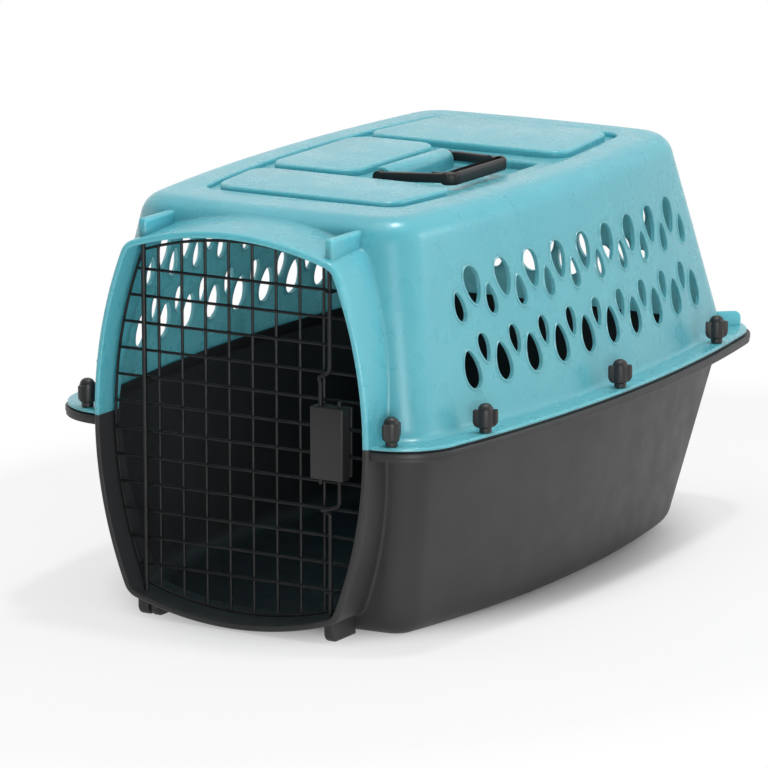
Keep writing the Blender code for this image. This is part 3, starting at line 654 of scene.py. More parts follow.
# %% [markdown]
# ## Roof
# The deck has a shallow tray with three raised pads in it, and a pocket that the handle folds into. An
# inset and extrusion of the deck's face would follow its outline, but the tray's sides bow differently, so
# a cutter with a soft upper edge sinks it and the pads are set in. All of them climb with the deck.

# %% Tray and pads
TRAY_ROUND, TRAY_LEVEL, TRAY_CORNER = 0.002, (0.125, -0.221, 0.218), 0.018
TRAY_BOW, TRAY_END_BOW = 0.0175, 0.002
PAD_TOP, PAD_ROUND, PAD_CORNER, PAD_GAP, PAD_ROOT = 0.3905, 0.0030, 0.023, 0.0095, 0.0005
PADS = {"front": (-0.3, 0.3, -0.2135, -0.112), "middle": (-0.3, -0.017, -0.0945, 0.0735),
        "rear": (-0.3, 0.3, 0.0865, 0.2130)}
CLIMB = Matrix.Identity(4)
CLIMB[2][1] = DECK_RISE


def recess(outline, floor, edge, top=DECK):
    """Cutter for a hollow with a soft upper edge: outline gives its points for any growth."""
    rings = [[Vector((p.x, p.y, DECK + PAST)) for p in outline(edge)]]
    for turn in QUARTER_TURNS:
        z = top - edge * (1 - cos(radians(turn)))
        rings.append([Vector((p.x, p.y, z)) for p in outline(edge * (1 - sin(radians(turn))))])
    rings.append([Vector((p.x, p.y, floor)) for p in outline(0.0)])
    return loft(rings)


def tray_outline(grow, steps=(20, 60, 8)):
    half, front, back = TRAY_LEVEL
    return bowed_outline(half + grow, front - grow, back + grow, TRAY_BOW, TRAY_END_BOW,
                         TRAY_CORNER + grow, *steps)


def tray_edge(y):
    """Half width of the tray at a place along it."""
    half, front, back = TRAY_LEVEL
    return half - TRAY_BOW * ((y - (front + back) / 2) / ((back - front) / 2 - TRAY_CORNER)) ** 2


def pad(left, right, front, back):
    """A raised pad with round corners and soft upper edges, kept a gap inside the tray."""
    low = DECK - TRAY_DEPTH - PAD_ROOT
    corners = []
    for y, sides in ((front, (-1, 1)), (back, (1, -1))):
        reach = tray_edge(y) - PAD_GAP
        ends = {-1: max(left, -reach), 1: min(right, reach)}
        corners += [(ends[side], y, low) for side in sides]
    shape = bmesh.new()
    shape.faces.new([shape.verts.new(corner) for corner in corners])
    bmesh.ops.bevel(shape, geom=shape.verts[:], offset=PAD_CORNER, segments=7, profile=0.5,
                    affect="VERTICES", material=-1)
    made = bmesh.ops.extrude_face_region(shape, geom=shape.faces[:])["geom"]
    top = [item for item in made if isinstance(item, bmesh.types.BMVert)]
    bmesh.ops.translate(shape, verts=top, vec=(0, 0, PAD_TOP - low))
    bmesh.ops.recalc_face_normals(shape, faces=shape.faces[:])
    soft_edges(shape, [e for e in shape.edges if all(v in top for v in e.verts)], PAD_ROUND, 4)
    bmesh.ops.transform(shape, matrix=CLIMB, verts=shape.verts[:])
    return shape


print("roof pads:", list(PADS))

# %% [markdown]
# ## Vents
# Four rows of teardrop holes go through both sides and the back, large drops outside and small ones
# between them, and each has a thin raised bead round it. Drawing every hole on the wall would distort its
# mesh, so long bars with a teardrop section are cut straight through. The beads are round wires laid on
# the wall by rays, and stay a piece of their own, because they only touch the shell.

# %% Vent rows
# height, half width, half height, blunt end, first place, pitch, climb, count on a side, count at the back
VENT_ROWS = (
    (0.3155, 0.0115, 0.018, 1, -0.189, 0.0481, 0.0003, 9, 4),
    (0.299, 0.0080, 0.0142, -1, -0.2128, 0.0484, 0.0002, 10, 5),
    (0.258, 0.0080, 0.0138, 1, -0.1875, 0.0488, 0.0, 9, 4),
    (0.2415, 0.0115, 0.018, -1, -0.2105, 0.0488, 0.0, 10, 5),
)
BACK_PITCH, BACK_VENT_Y = 0.0437, 0.2
VENT_STEPS, VENT_DROP = 28, 0.22
LEAN_FRONT, LEAN_BACK = 0.002, 0.0005


def drop(middle, lean, z, half_width, half_height, blunt, grow=0.0):
    """A teardrop along a wall: blunt at its upper end for 1, at its lower end for -1."""
    points = []
    for k in range(VENT_STEPS):
        turn = 2 * pi * (k + 0.5) / VENT_STEPS
        swell = 1 + VENT_DROP * blunt * cos(turn)
        along = (half_width + grow) * sin(turn) * swell - lean * cos(turn)
        points.append((middle + along, z + (half_height + grow) * cos(turn)))
    return points


def side_vents():
    for z, half_width, half_height, blunt, first, pitch, climb, count, _ in VENT_ROWS:
        for k in range(count):
            lean = LEAN_FRONT + (LEAN_BACK - LEAN_FRONT) * k / (count - 1)
            yield first + pitch * k, lean, z + climb * k, half_width, half_height, blunt


def back_vents():
    for z, half_width, half_height, blunt, _, _, _, _, count in VENT_ROWS:
        for k in range(count):
            yield BACK_PITCH * (k - (count - 1) / 2), 0.0, z, half_width, half_height, blunt


print("vents on a side:", len(list(side_vents())), "and at the back:", len(list(back_vents())))

# %% Vent cutters and beads
BEAD, BEAD_OUT, BEAD_SUNK = 0.0012, 0.0007, 0.15


def vent_bars():
    """Cutters that run from side to side, and others out through the back."""
    across = [loft([[Vector((x, y, z)) for y, z in drop(*vent)] for x in (-FAR, FAR)])
              for vent in side_vents()]
    along = [loft([[Vector((x, y, z)) for x, z in drop(*vent)] for y in (BACK_VENT_Y, FAR)])
             for vent in back_vents()]
    return [merged(across), merged(along)]


def laid(points, inward):
    """Points outside a wall, brought in until they lie a little under its face."""
    return [upper_wall.ray_cast(p, inward)[0] + inward * BEAD * BEAD_SUNK for p in points]


def vent_beads():
    """The thin raised bead round each vent."""
    loops = []
    for sign in (-1, 1):
        for vent in side_vents():
            outside = [Vector((sign, y, z)) for y, z in drop(*vent, BEAD_OUT)]
            loops.append(laid(outside, Vector((-sign, 0, 0))))
    for vent in back_vents():
        outside = [Vector((x, 1, z)) for x, z in drop(*vent, BEAD_OUT)]
        loops.append(laid(outside, Vector((0, -1, 0))))
    return swept(loops, BEAD, closed=True, smoothness=2)


# %% [markdown]
# ## Ribs, gussets and the handle's pocket
# Two ribs over the hood hold the upper ends of the door's rods, two plates stiffen the flange at the back
# corners, and a block in the pocket carries the handle's pins. They are boxes with a few bevelled edges,
# joined to the shell, because a plain box with the right edges rounded is what the moulder cut.

# %% Ribs and gussets
RIBS = ((-0.0998, -0.3295), (0.1014, -0.3312))
RIB_HALF, RIB_BACK, RIB_LOW, RIB_HIGH, RIB_ROUND = 0.0045, -0.262, 0.340, 0.375, 0.003
GUSSET_CENTRE, GUSSET_TURN = Vector((0.147, 0.2747, 0)), radians(40)
GUSSET_INNER, GUSSET_OUTER, GUSSET_HALF, GUSSET_HEIGHT = 0.030, 0.0555, 0.002, 0.0175
GUSSET_ROUND, GUSSET_EDGE, GUSSET_SUNK = 0.006, 0.0008, 0.001


def ribs():
    return [block((x - RIB_HALF, y, RIB_LOW), (x + RIB_HALF, RIB_BACK, RIB_HIGH), RIB_ROUND, 5)
            for x, y in RIBS]


def gussets():
    """Upright plates across the flange at the back corners, round at their upper outer ends."""
    plates = []
    for sign in (-1, 1):
        plate = block((GUSSET_INNER, -GUSSET_HALF, SEAM + GUSSET_SUNK),
                      (GUSSET_OUTER, GUSSET_HALF, SEAM + GUSSET_HEIGHT))
        tip = Vector((GUSSET_OUTER, 0, SEAM + GUSSET_HEIGHT))
        corner = [e for e in plate.edges if all((v.co - tip).length < 2 * GUSSET_HALF for v in e.verts)]
        soft_edges(plate, corner, GUSSET_ROUND, 6)
        soft_edges(plate, edges_facing(plate, 1), GUSSET_EDGE, 2)
        turn = GUSSET_TURN if sign > 0 else pi - GUSSET_TURN
        centre = Vector((sign * GUSSET_CENTRE.x, GUSSET_CENTRE.y, 0))
        place = Matrix.Translation(centre) @ Matrix.Rotation(turn, 4, "Z")
        bmesh.ops.transform(plate, matrix=place, verts=plate.verts[:])
        plates.append(plate)
    return plates


# %% Pocket and block
POCKET = (-0.004, 0.1005, -0.099, 0.060)
POCKET_FLOOR, POCKET_CORNER, POCKET_EDGE, POCKET_BOW = 0.376, 0.006, 0.0015, 0.0002
CUP_TOP = DECK - TRAY_DEPTH - 0.0015
BLOCK_LEFT, BLOCK_RIGHT, BLOCK_FRONT, BLOCK_BACK, BLOCK_TOP = 0.003, 0.020, -0.0805, 0.0365, 0.394
BLOCK_SLOPE, BLOCK_RIDGE, BLOCK_EDGE, BLOCK_SUNK = 0.011, 0.003, 0.001, 0.001


def pocket_outline(grow):
    left, right, front, back = POCKET
    middle = (left + right) / 2
    outline = bowed_outline((right - left) / 2 + grow, front - grow, back + grow, POCKET_BOW, POCKET_BOW,
                            POCKET_CORNER + grow, 2, 2, 6)
    return [Vector((p.x + middle, p.y)) for p in outline]


def pocket_cup():
    """The walls and floor that hang under the deck round the pocket."""
    left, right, front, back = POCKET
    return block((left - WALL, front - WALL, POCKET_FLOOR - WALL), (right + WALL, back + WALL, CUP_TOP))


def handle_block():
    """The block between the handle's arms: a ridge on the left, a round slope on the right."""
    shape = block((BLOCK_LEFT, BLOCK_FRONT, POCKET_FLOOR - BLOCK_SUNK), (BLOCK_RIGHT, BLOCK_BACK, BLOCK_TOP))
    for x, radius, segments in ((BLOCK_RIGHT, BLOCK_SLOPE, 8), (BLOCK_LEFT, BLOCK_RIDGE, 4)):
        top = [e for e in shape.edges if all(v.co.z > BLOCK_TOP - TOUCH for v in e.verts)]
        ridge = [e for e in top if all(abs(v.co.x - x) < TOUCH for v in e.verts)]
        soft_edges(shape, ridge, radius, segments)
    soft_edges(shape, edges_facing(shape, 1), BLOCK_EDGE, 2)
    return shape


# %% Upper shell put together
HINGE_X, LATCH_X = -0.101, 0.1004
LATCH_Y, LATCH_RADIUS = -0.3278, 0.002
hinge_low, hinge_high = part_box("door_hinge_rod")
HINGE_Y, HINGE_RADIUS = (hinge_low.y + hinge_high.y) / 2, (hinge_high.y - hinge_low.y) / 2
SOCKET_PLAY, UPPER_SOCKET = 0.0004, (RIB_LOW, 0.366)
PIVOT = Vector((0.009, 0, 0.386))
PIN_RADIUS, PIN_HOLE, PIN_START = 0.0035, 0.0075, 0.001


def rod_sockets(low, high):
    """Cutters for the holes that the door's hinge rod and latch bolts stand in."""
    return [rod((x, y, low), (x, y, high), radius + SOCKET_PLAY)
            for x, y, radius in ((HINGE_X, HINGE_Y, HINGE_RADIUS), (LATCH_X, LATCH_Y, LATCH_RADIUS))]


def pin_holes():
    """Cutters for the handle's pins in the ends of the block."""
    holes = []
    for face, inward in ((BLOCK_FRONT, 1), (BLOCK_BACK, -1)):
        ends = [Vector((PIVOT.x, face + inward * reach, PIVOT.z)) for reach in (-PIN_START, PIN_HOLE)]
        holes.append(rod(*ends, PIN_RADIUS + SOCKET_PLAY))
    return holes


def build_upper_shell():
    shell = solid("upper_shell", upper_solid())
    carve(shell, "UNION", [collar()] + ribs() + gussets())
    below = block((-FAR, -FAR, -PAST), (FAR, FAR, SEAM))
    tray = recess(tray_outline, DECK - TRAY_DEPTH, TRAY_ROUND)
    bmesh.ops.transform(tray, matrix=CLIMB, verts=tray.verts[:])
    carve(shell, "DIFFERENCE", [hollow(), opening(), below, tray])
    carve(shell, "UNION", [pocket_cup()] + [pad(*PADS[name]) for name in PADS])
    carve(shell, "DIFFERENCE", [recess(pocket_outline, POCKET_FLOOR, POCKET_EDGE, DECK - TRAY_DEPTH)])
    carve(shell, "UNION", [handle_block()])
    carve(shell, "DIFFERENCE", vent_bars() + pin_holes() + rod_sockets(*UPPER_SOCKET))
    return finished(shell, "shell", "turquoise_shell", turquoise, "top_shell")


build_upper_shell()
finished(solid("vent_beads", vent_beads()), "shell", "turquoise_shell", turquoise)

# %% [markdown]
# ## Lower shell
# The lower shell is a tub. It is lofted like the upper one, from the rounded floor up the drafted wall,
# under the rim, round its hanging lip and over its edge. A groove in the rim makes the dark line under the
# flange. A tongue stands up inside the upper shell, and two feet under the collar hold the door's rods.

# %% Lower shell, outside and inside
FLOOR_ROUND, FLOOR_TURNS, HOLLOW_TURNS = 0.018, (90, 75, 60, 45, 30, 15, 0), (90, 60, 30, 0)
TUB_STEPS, RIM_FILLET, RIM_TURNS = 24, 0.004, (30, 60, 90)
RIM_OVER, RIM_HEIGHT, RIM_LIP, RIM_STEP = 0.003, 0.0102, 0.0025, 0.0007
RIM_SKIRT = ((-RIM_STEP - 0.0006, 0.0), (-RIM_STEP, 0.0006), (-RIM_STEP, 0.0036), (0.0, 0.0042))
RIM_GROOVE = ((0.0, -0.0026), (-0.0004, -0.0019), (-0.0010, -0.0017), (-0.0020, -0.0021),
              (-0.0050, -0.0021), (-0.0062, -0.0004), (-0.0066, 0.0))


def tub_level(z, by=0.0):
    """The tub's wall at one height."""
    return grown(between(FLOOR_LEVEL, SEAM_LEVEL, z / SEAM), by)


def rim_level(by):
    half, front, back, corner, bow = FLANGE_LEVEL
    return grown((half + RIM_OVER, front, back + RIM_OVER, corner, bow), by)


def lower_solid():
    """The outside of the lower shell."""
    rings = []
    for turn in FLOOR_TURNS:
        z = FLOOR_ROUND * (1 - sin(radians(turn)))
        rings.append(plan(tub_level(z, -FLOOR_ROUND * (1 - cos(radians(turn)))), z))
    under = RIM_TOP - WALL
    for i in range(1, TUB_STEPS + 1):
        z = FLOOR_ROUND + (under - RIM_FILLET - FLOOR_ROUND) * i / TUB_STEPS
        rings.append(plan(tub_level(z), z))
    for turn in RIM_TURNS:
        z = under - RIM_FILLET * (1 - sin(radians(turn)))
        rings.append(plan(tub_level(z, RIM_FILLET * (1 - cos(radians(turn)))), z))
    low = RIM_TOP - RIM_HEIGHT
    edge = [(-RIM_LIP, under), (-RIM_LIP, low)] + [(by, low + up) for by, up in RIM_SKIRT]
    edge += [(by, RIM_TOP + up) for by, up in RIM_GROOVE]
    return loft(rings + [plan(rim_level(by), z, FLANGE_BOW) for by, z in edge])


def lower_hollow():
    """The space inside the lower shell."""
    rings = []
    for turn in HOLLOW_TURNS:
        z = FLOOR_ROUND * (1 - sin(radians(turn)))
        rings.append(plan(tub_level(z, -FLOOR_ROUND * (1 - cos(radians(turn))) - WALL), z + WALL))
    rings.append(plan(grown(SEAM_LEVEL, -WALL), SEAM + PAST))
    return loft(rings)


# %% Tongue and feet
LIP_HEIGHT, LIP_BACK = 0.0055, -0.25
LIP_OUTER = ((0.001, -0.008), (0.001, -0.0015), (-0.0022, -0.0003), (-0.0028, LIP_HEIGHT - 0.0005),
             (-0.0032, LIP_HEIGHT))
LIP_INNER = ((-0.0008, -0.009), (-0.0046, -0.002), (-0.0046, LIP_HEIGHT - 0.0004),
             (-0.0042, LIP_HEIGHT + 0.0001), (-0.0042, LIP_HEIGHT + 0.002))
FOOT_BARS = ((0.0955, 0.105), (-0.0925, -0.0845), (-0.1068, -0.0955))
FOOT_FRONT, FOOT_BACK, FOOT_TOP, FOOT_TOE, FOOT_ROUND = -0.3325, -0.290, 0.030, 0.009, 0.0018


def seam_lip():
    """A tongue that stands up inside the upper shell and keeps spills in."""
    outside, core = (loft([plan(grown(SEAM_LEVEL, by - WALL), SEAM + up) for by, up in rings])
                     for rings in (LIP_OUTER, LIP_INNER))
    lip = solid("seam_lip", outside)
    carve(lip, "DIFFERENCE", [core, block((-FAR, -FAR, 0.0), (FAR, LIP_BACK, FAR))])
    return melted(lip)


def feet():
    """Bars under the collar with rounded toes."""
    bars = []
    for left, right in FOOT_BARS:
        bar = block((left, FOOT_FRONT, 0.0), (right, FOOT_BACK, FOOT_TOP))
        toe = [e for e in bar.edges if all(v.co.y < FOOT_FRONT + TOUCH and v.co.z < TOUCH for v in e.verts)]
        soft_edges(bar, toe, FOOT_TOE, 8)
        soft_edges(bar, edges_facing(bar, 0), FOOT_ROUND, 3)
        bars.append(bar)
    return bars


# %% Lower shell put together
LOWER_SOCKET = (0.0125, 0.040)


def build_lower_shell():
    shell = solid("lower_shell", lower_solid())
    carve(shell, "UNION", [collar()] + feet())
    above = block((-FAR, -FAR, RIM_TOP), (FAR, FAR, FAR))
    carve(shell, "DIFFERENCE", [lower_hollow(), opening(), above] + rod_sockets(*LOWER_SOCKET))
    carve(shell, "UNION", [seam_lip()])
    return finished(shell, "shell", "dark_shell", charcoal, "bottom_shell")


build_lower_shell()

# %% [markdown]
# ## Wire door
# The door is a welded grid: level wires in front, uprights behind, and an outline wire that follows the
# opening. A Wireframe modifier would give square bars that meet in one plane. Curves with a round bevel
# keep the two layers and the round section, and their ends stop at the outline wire.

# %% Door grille
PITCH, WIRE, LAYER = 0.0254, 0.0014, 0.0013
DOOR_Y, ROW_ZERO, DOOR_INSET = -0.320, 0.174, 0.0055
ROWS, UPRIGHTS = range(-5, 7), 8


def arc_half(reach, sag_half, sag, corner, along):
    """Half width of a bowed outline at a distance along it."""
    radius = (sag_half * sag_half + sag * sag) / (2 * sag) + corner
    return reach - radius + (radius * radius - along * along) ** 0.5


def build_grille():
    corner = OPENING_CORNER - DOOR_INSET
    side_chord = OPENING_HALF_HEIGHT - OPENING_ARCH_SAG - OPENING_CORNER
    arch_chord = OPENING_HALF - OPENING_SIDE_SAG - OPENING_CORNER
    paths = []
    for k in ROWS:
        z = ROW_ZERO + PITCH * k
        half = arc_half(OPENING_HALF - DOOR_INSET, side_chord, OPENING_SIDE_SAG, corner, z - OPENING_MID)
        paths.append([(-half, DOOR_Y - LAYER, z), (half, DOOR_Y - LAYER, z)])
    for k in range(UPRIGHTS):
        x = PITCH * (k - (UPRIGHTS - 1) / 2)
        half = arc_half(OPENING_HALF_HEIGHT - DOOR_INSET, arch_chord, OPENING_ARCH_SAG, corner, x)
        paths.append([(x, DOOR_Y + LAYER, OPENING_MID - half), (x, DOOR_Y + LAYER, OPENING_MID + half)])
    outline = swept([[(x, DOOR_Y, z) for x, z in barrel(-DOOR_INSET)]], WIRE, closed=True)
    wires = solid("door_wires", merged([swept(paths, WIRE), outline]))
    return finished(wires, "door", "coated_wire", wire_coat, "door_grille")


build_grille()
hinge = swept([[(HINGE_X, HINGE_Y, hinge_low.z), (HINGE_X, HINGE_Y, hinge_high.z)]], HINGE_RADIUS)
finished(solid("hinge_rod", hinge), "door", "coated_wire", wire_coat, "door_hinge_rod")

# %% [markdown]
# ## Squeeze latch
# Two bent rods slide in a flat cover, each with a stop that a spring pushes on. A bent rod could be extruded
# step by step. A path with rounded corners that a curve sweeps is easier to correct, so the rods, the
# springs and the guide loops are all made that way. The cover is a bevelled box that is hollowed from behind.

# %% Latch rods
cover_low, cover_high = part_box("latch_cover")
LEG, STOP_RADIUS, STOP_THICK = 0.010, 0.0034, 0.002
UPPER_STOP, LOWER_STOP = 0.200, 0.171
STUB, BEND_ROUND, HOOK_OUT = 0.0055, 0.004, 0.0042
LEFT_LEG, RIGHT_LEG = LATCH_X - LEG, LATCH_X + LEG
UPPER_PATH = [(LEFT_LEG, 0, cover_low.z - STUB), (LEFT_LEG, 0, 0.2415), (LEFT_LEG - 0.0012, -0.001, 0.2462),
              (LATCH_X - 0.001, 0, 0.2515), (LATCH_X, 0, 0.257), (LATCH_X, 0, 0.3495)]
LOWER_PATH = [(RIGHT_LEG, 0, cover_high.z + STUB), (RIGHT_LEG, 0, 0.1285), (LATCH_X, -HOOK_OUT, 0.1255),
              (LEFT_LEG + 0.0035, -HOOK_OUT, 0.1238), (LEFT_LEG + 0.0035, 0, 0.1225), (LATCH_X, 0, 0.1205),
              (LATCH_X, 0, 0.0245)]


def latch_rod(name, path, stop_x, stop_z, body, node):
    bent = rounded_path([(x, LATCH_Y + out, z) for x, out, z in path], BEND_ROUND)
    piece = solid(name, swept([bent], LATCH_RADIUS, smoothness=4))
    stop = rod((stop_x, LATCH_Y, stop_z), (stop_x, LATCH_Y, stop_z + STOP_THICK), STOP_RADIUS)
    carve(piece, "UNION", [stop])
    return finished(piece, body, "coated_wire", wire_coat, node)


latch_rod("upper_latch_rod", UPPER_PATH, LEFT_LEG, UPPER_STOP, "latch_upper", "latch_rod_upper")
latch_rod("lower_latch_rod", LOWER_PATH, RIGHT_LEG, LOWER_STOP, "latch_lower", "latch_rod_lower")

# %% Springs and guides
SPRING_RADIUS, SPRING_WIRE, SPRING_TURNS, TURN_STEPS = 0.0029, 0.00045, 7, 16
GUIDE_BEND = 0.0025


def coil(x, low, high):
    """A helix round a rod."""
    points = []
    for k in range(SPRING_TURNS * TURN_STEPS + 1):
        turn = 2 * pi * k / TURN_STEPS
        z = low + (high - low) * k / (SPRING_TURNS * TURN_STEPS)
        points.append((x + SPRING_RADIUS * cos(turn), LATCH_Y + SPRING_RADIUS * sin(turn), z))
    return points


def latch_spring(end, x):
    node = f"latch_spring_{end}"
    low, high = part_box(node)
    spring = swept([coil(x, low.z + SPRING_WIRE, high.z - SPRING_WIRE)], SPRING_WIRE, smoothness=2)
    return finished(solid(f"{end}_latch_spring", spring), "door", "plain_steel", steel, node)


def rod_guide(end):
    """A wire loop round a rod, its two ends on the door."""
    node = f"latch_rod_guide_{end}"
    low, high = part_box(node)
    wire, z = (high.z - low.z) / 2, (low.z + high.z) / 2
    left, right, front = low.x + wire, high.x - wire, low.y + wire
    corners = [(left, high.y, z), (left, front, z), (right, front, z), (right, high.y, z)]
    loop = swept([rounded_path(corners, GUIDE_BEND)], wire)
    return finished(solid(f"{end}_rod_guide", loop), "door", "coated_wire", wire_coat, node)


for end, x in (("upper", LEFT_LEG), ("lower", RIGHT_LEG)):
    latch_spring(end, x)
    rod_guide(end)

# %% Latch cover and back plate
COVER_WALL, COVER_ROUND, COVER_BACK, COVER_TRIM = 0.0016, 0.0012, -0.3231, 0.004
POST_CELLS, POST_RADIUS, POST_SUNK = (-0.5, 1.5), 0.003, 0.0008
PLATE_ROUND = 0.001


def latch_cover():
    """A box open at the back, with slots for the rods and two posts that go through the mesh."""
    outer = block(cover_low, (cover_high.x, COVER_BACK + COVER_TRIM, cover_high.z), COVER_ROUND)
    cover = solid("latch_cover_shell", outer)
    low = Vector(cover_low) + Vector((COVER_WALL, COVER_WALL, COVER_WALL))
    inside = block(low, (cover_high.x - COVER_WALL, 0.0, cover_high.z - COVER_WALL))
    cuts = [inside, block((0, COVER_BACK, 0), (FAR, 0, FAR))]
    for x in (LEFT_LEG, RIGHT_LEG):
        ends = [(x, LATCH_Y, z) for z in (cover_low.z - PAST, cover_high.z + PAST)]
        cuts.append(rod(*ends, LATCH_RADIUS + SOCKET_PLAY))
    carve(cover, "DIFFERENCE", cuts)
    posts = []
    for cell in POST_CELLS:
        z = ROW_ZERO + PITCH * cell
        posts.append(rod((LATCH_X, cover_low.y + POST_SUNK, z), (LATCH_X, cover_high.y, z), POST_RADIUS))
    carve(cover, "UNION", posts)
    return finished(cover, "door", "dark_fitting", fitting, "latch_cover")


latch_cover()
plate = solid("latch_plate", block(*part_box("latch_back_plate"), PLATE_ROUND))
finished(plate, "door", "dark_fitting", fitting, "latch_back_plate")

# %% [markdown]
# ## Carry handle
# The handle is a bail: two flat arms and a thick grip with round corners and a slot that is open at the
# top. Pins on the arms go into the ends of the block between them. It could be swept along a path, but the
# grip's section changes where the arms meet it, so bevelled blocks are joined. The rear arm slants, and a
# last step slants the finished mesh from a cut across the arms outwards.

# %% Grip
handle_low, handle_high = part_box("carry_handle")
ARM_FRONT, ARM_BACK, GRIP_OUTER, GRIP_TOP = handle_low.y, handle_high.y, handle_high.x, handle_high.z
GRIP_INNER, GRIP_LOW, GRIP_ROUND, HANDLE_CORNER = 0.078, 0.384, 0.0035, 0.0125
RING_PLACES, RING_HALF, RING_DEPTH = (0.0125, -0.0125), 0.0004, 0.0004
SLOT_WALL, SLOT_WIDTH, SLOT_FLOOR, SLOT_END, SLOT_ROUND = 0.0016, 0.0094, 0.003, 0.009, 0.0008


def rise(edge):
    """Height between the ends of an edge."""
    return abs(edge.verts[0].co.z - edge.verts[1].co.z)


def grip_shape(inset=0.0):
    """The grip, its outer corners rounded in plan and its level edges softened."""
    shape = block((GRIP_INNER + inset, ARM_FRONT + inset, GRIP_LOW + inset),
                  (GRIP_OUTER - inset, ARM_BACK - inset, GRIP_TOP - inset))
    upright = [e for e in shape.edges if rise(e) > TOUCH]
    outer = [e for e in upright if e.verts[0].co.x > GRIP_OUTER - inset - TOUCH]
    soft_edges(shape, outer, HANDLE_CORNER - inset, 10)
    soft_edges(shape, [e for e in shape.edges if rise(e) < TOUCH], GRIP_ROUND - inset, 5)
    return shape


def grip_ring(y):
    """Cutter for the fine seam round the grip."""
    ring = block((GRIP_INNER - PAST, y - RING_HALF, GRIP_LOW - PAST),
                 (GRIP_OUTER + PAST, y + RING_HALF, GRIP_TOP + PAST))
    return melted(carve(solid("band", ring), "DIFFERENCE", [grip_shape(RING_DEPTH)]))


def grip_slot():
    """Cutter for the slot along the top of the grip."""
    left = GRIP_INNER + SLOT_WALL
    return block((left, ARM_FRONT + SLOT_END, GRIP_LOW + SLOT_FLOOR),
                 (left + SLOT_WIDTH, ARM_BACK - SLOT_END, GRIP_TOP + PAST), SLOT_ROUND)


print(f"grip {(GRIP_OUTER - GRIP_INNER) * 1000:.1f} mm wide")

# %% Arms
ARM_WIDTH, ARM_HEIGHT, ARM_INSET, ARM_EDGE, ARM_RISE = 0.008, 0.009, 0.0005, 0.0015, 0.0025
BOSS, PIN_REACH, OVERLAP = 0.0055, 0.0065, 0.002
INNER_CORNER, CORNER_LOW, CORNER_HIGH = 0.013, 0.0035, 0.0015


def arm_shape(face, out):
    """A flat arm that climbs from the pivot to the grip."""
    reach, low = (GRIP_INNER + GRIP_OUTER) / 2, GRIP_LOW + ARM_RISE
    corners = [(PIVOT.x, PIVOT.z - ARM_HEIGHT / 2), (reach, low), (reach, low + ARM_HEIGHT),
               (PIVOT.x, PIVOT.z + ARM_HEIGHT / 2)]
    shape = bmesh.new()
    side = shape.faces.new([shape.verts.new((x, face - out * ARM_INSET, z)) for x, z in corners])
    made = bmesh.ops.extrude_face_region(shape, geom=[side])["geom"]
    moved = [v for v in made if isinstance(v, bmesh.types.BMVert)]
    bmesh.ops.translate(shape, verts=moved, vec=(0, -out * (ARM_WIDTH - 2 * ARM_INSET), 0))
    bmesh.ops.recalc_face_normals(shape, faces=shape.faces[:])
    soft_edges(shape, shape.edges[:], ARM_EDGE, 3)
    return shape


def inner_corner(back, out):
    """The concave corner between an arm and the grip."""
    low, high = GRIP_LOW + CORNER_LOW, GRIP_TOP - CORNER_HIGH
    far, near = back - out * INNER_CORNER, back + out * OVERLAP
    left = GRIP_INNER - INNER_CORNER
    corner = solid("corner", block((left, min(far, near), low), (GRIP_INNER + OVERLAP, max(far, near), high)))
    carve(corner, "DIFFERENCE", [rod((left, far, low - PAST), (left, far, high + PAST), INNER_CORNER, 48)])
    return melted(corner)


def arm_parts(face, out):
    """An arm with its corner, its boss and the pin that goes into the block."""
    back = face - out * ARM_WIDTH
    boss = rod((PIVOT.x, face, PIVOT.z), (PIVOT.x, back, PIVOT.z), BOSS, 32)
    ends = [(PIVOT.x, y, PIVOT.z) for y in (back + out * OVERLAP, back - out * PIN_REACH)]
    return [arm_shape(face, out), inner_corner(back, out), boss, rod(*ends, PIN_RADIUS, 24)]


# %% Handle put together
TAPER_START, TAPER = 0.022, 0.21


def taper(piece):
    """Slant the rear arm, so that the grip is shorter than the row of pivots."""
    shape = bmesh.new()
    shape.from_mesh(piece.data)
    everything = shape.verts[:] + shape.edges[:] + shape.faces[:]
    bmesh.ops.bisect_plane(shape, geom=everything, plane_co=(TAPER_START, 0, 0), plane_no=(1, 0, 0))
    for vert in shape.verts:
        share = max(0.0, (vert.co.x - TAPER_START) / (GRIP_OUTER - TAPER_START))
        vert.co.y = ARM_FRONT + (vert.co.y - ARM_FRONT) * (1 - TAPER * share)
    shape.to_mesh(piece.data)
    shape.free()


def build_handle():
    grip = solid("handle", grip_shape())
    rings = [grip_ring(end + reach) for end, reach in zip((ARM_FRONT, ARM_BACK), RING_PLACES)]
    carve(grip, "DIFFERENCE", [grip_slot()] + rings)
    carve(grip, "UNION", arm_parts(ARM_FRONT, -1) + arm_parts(ARM_BACK, 1))
    taper(grip)
    return finished(grip, "handle", "dark_fitting", fitting, "carry_handle")


build_handle()

# %% [markdown]
# ## Wing nuts and bolts
# Each fastener is a domed hub on a round stem with two flat wings set off to opposite sides, on a bolt
# whose head is under the rim. Round shapes are quickest as a profile that is spun round its axis, and the
# wings are bevelled plates. One nut is made and its mesh is copied to the eight places.

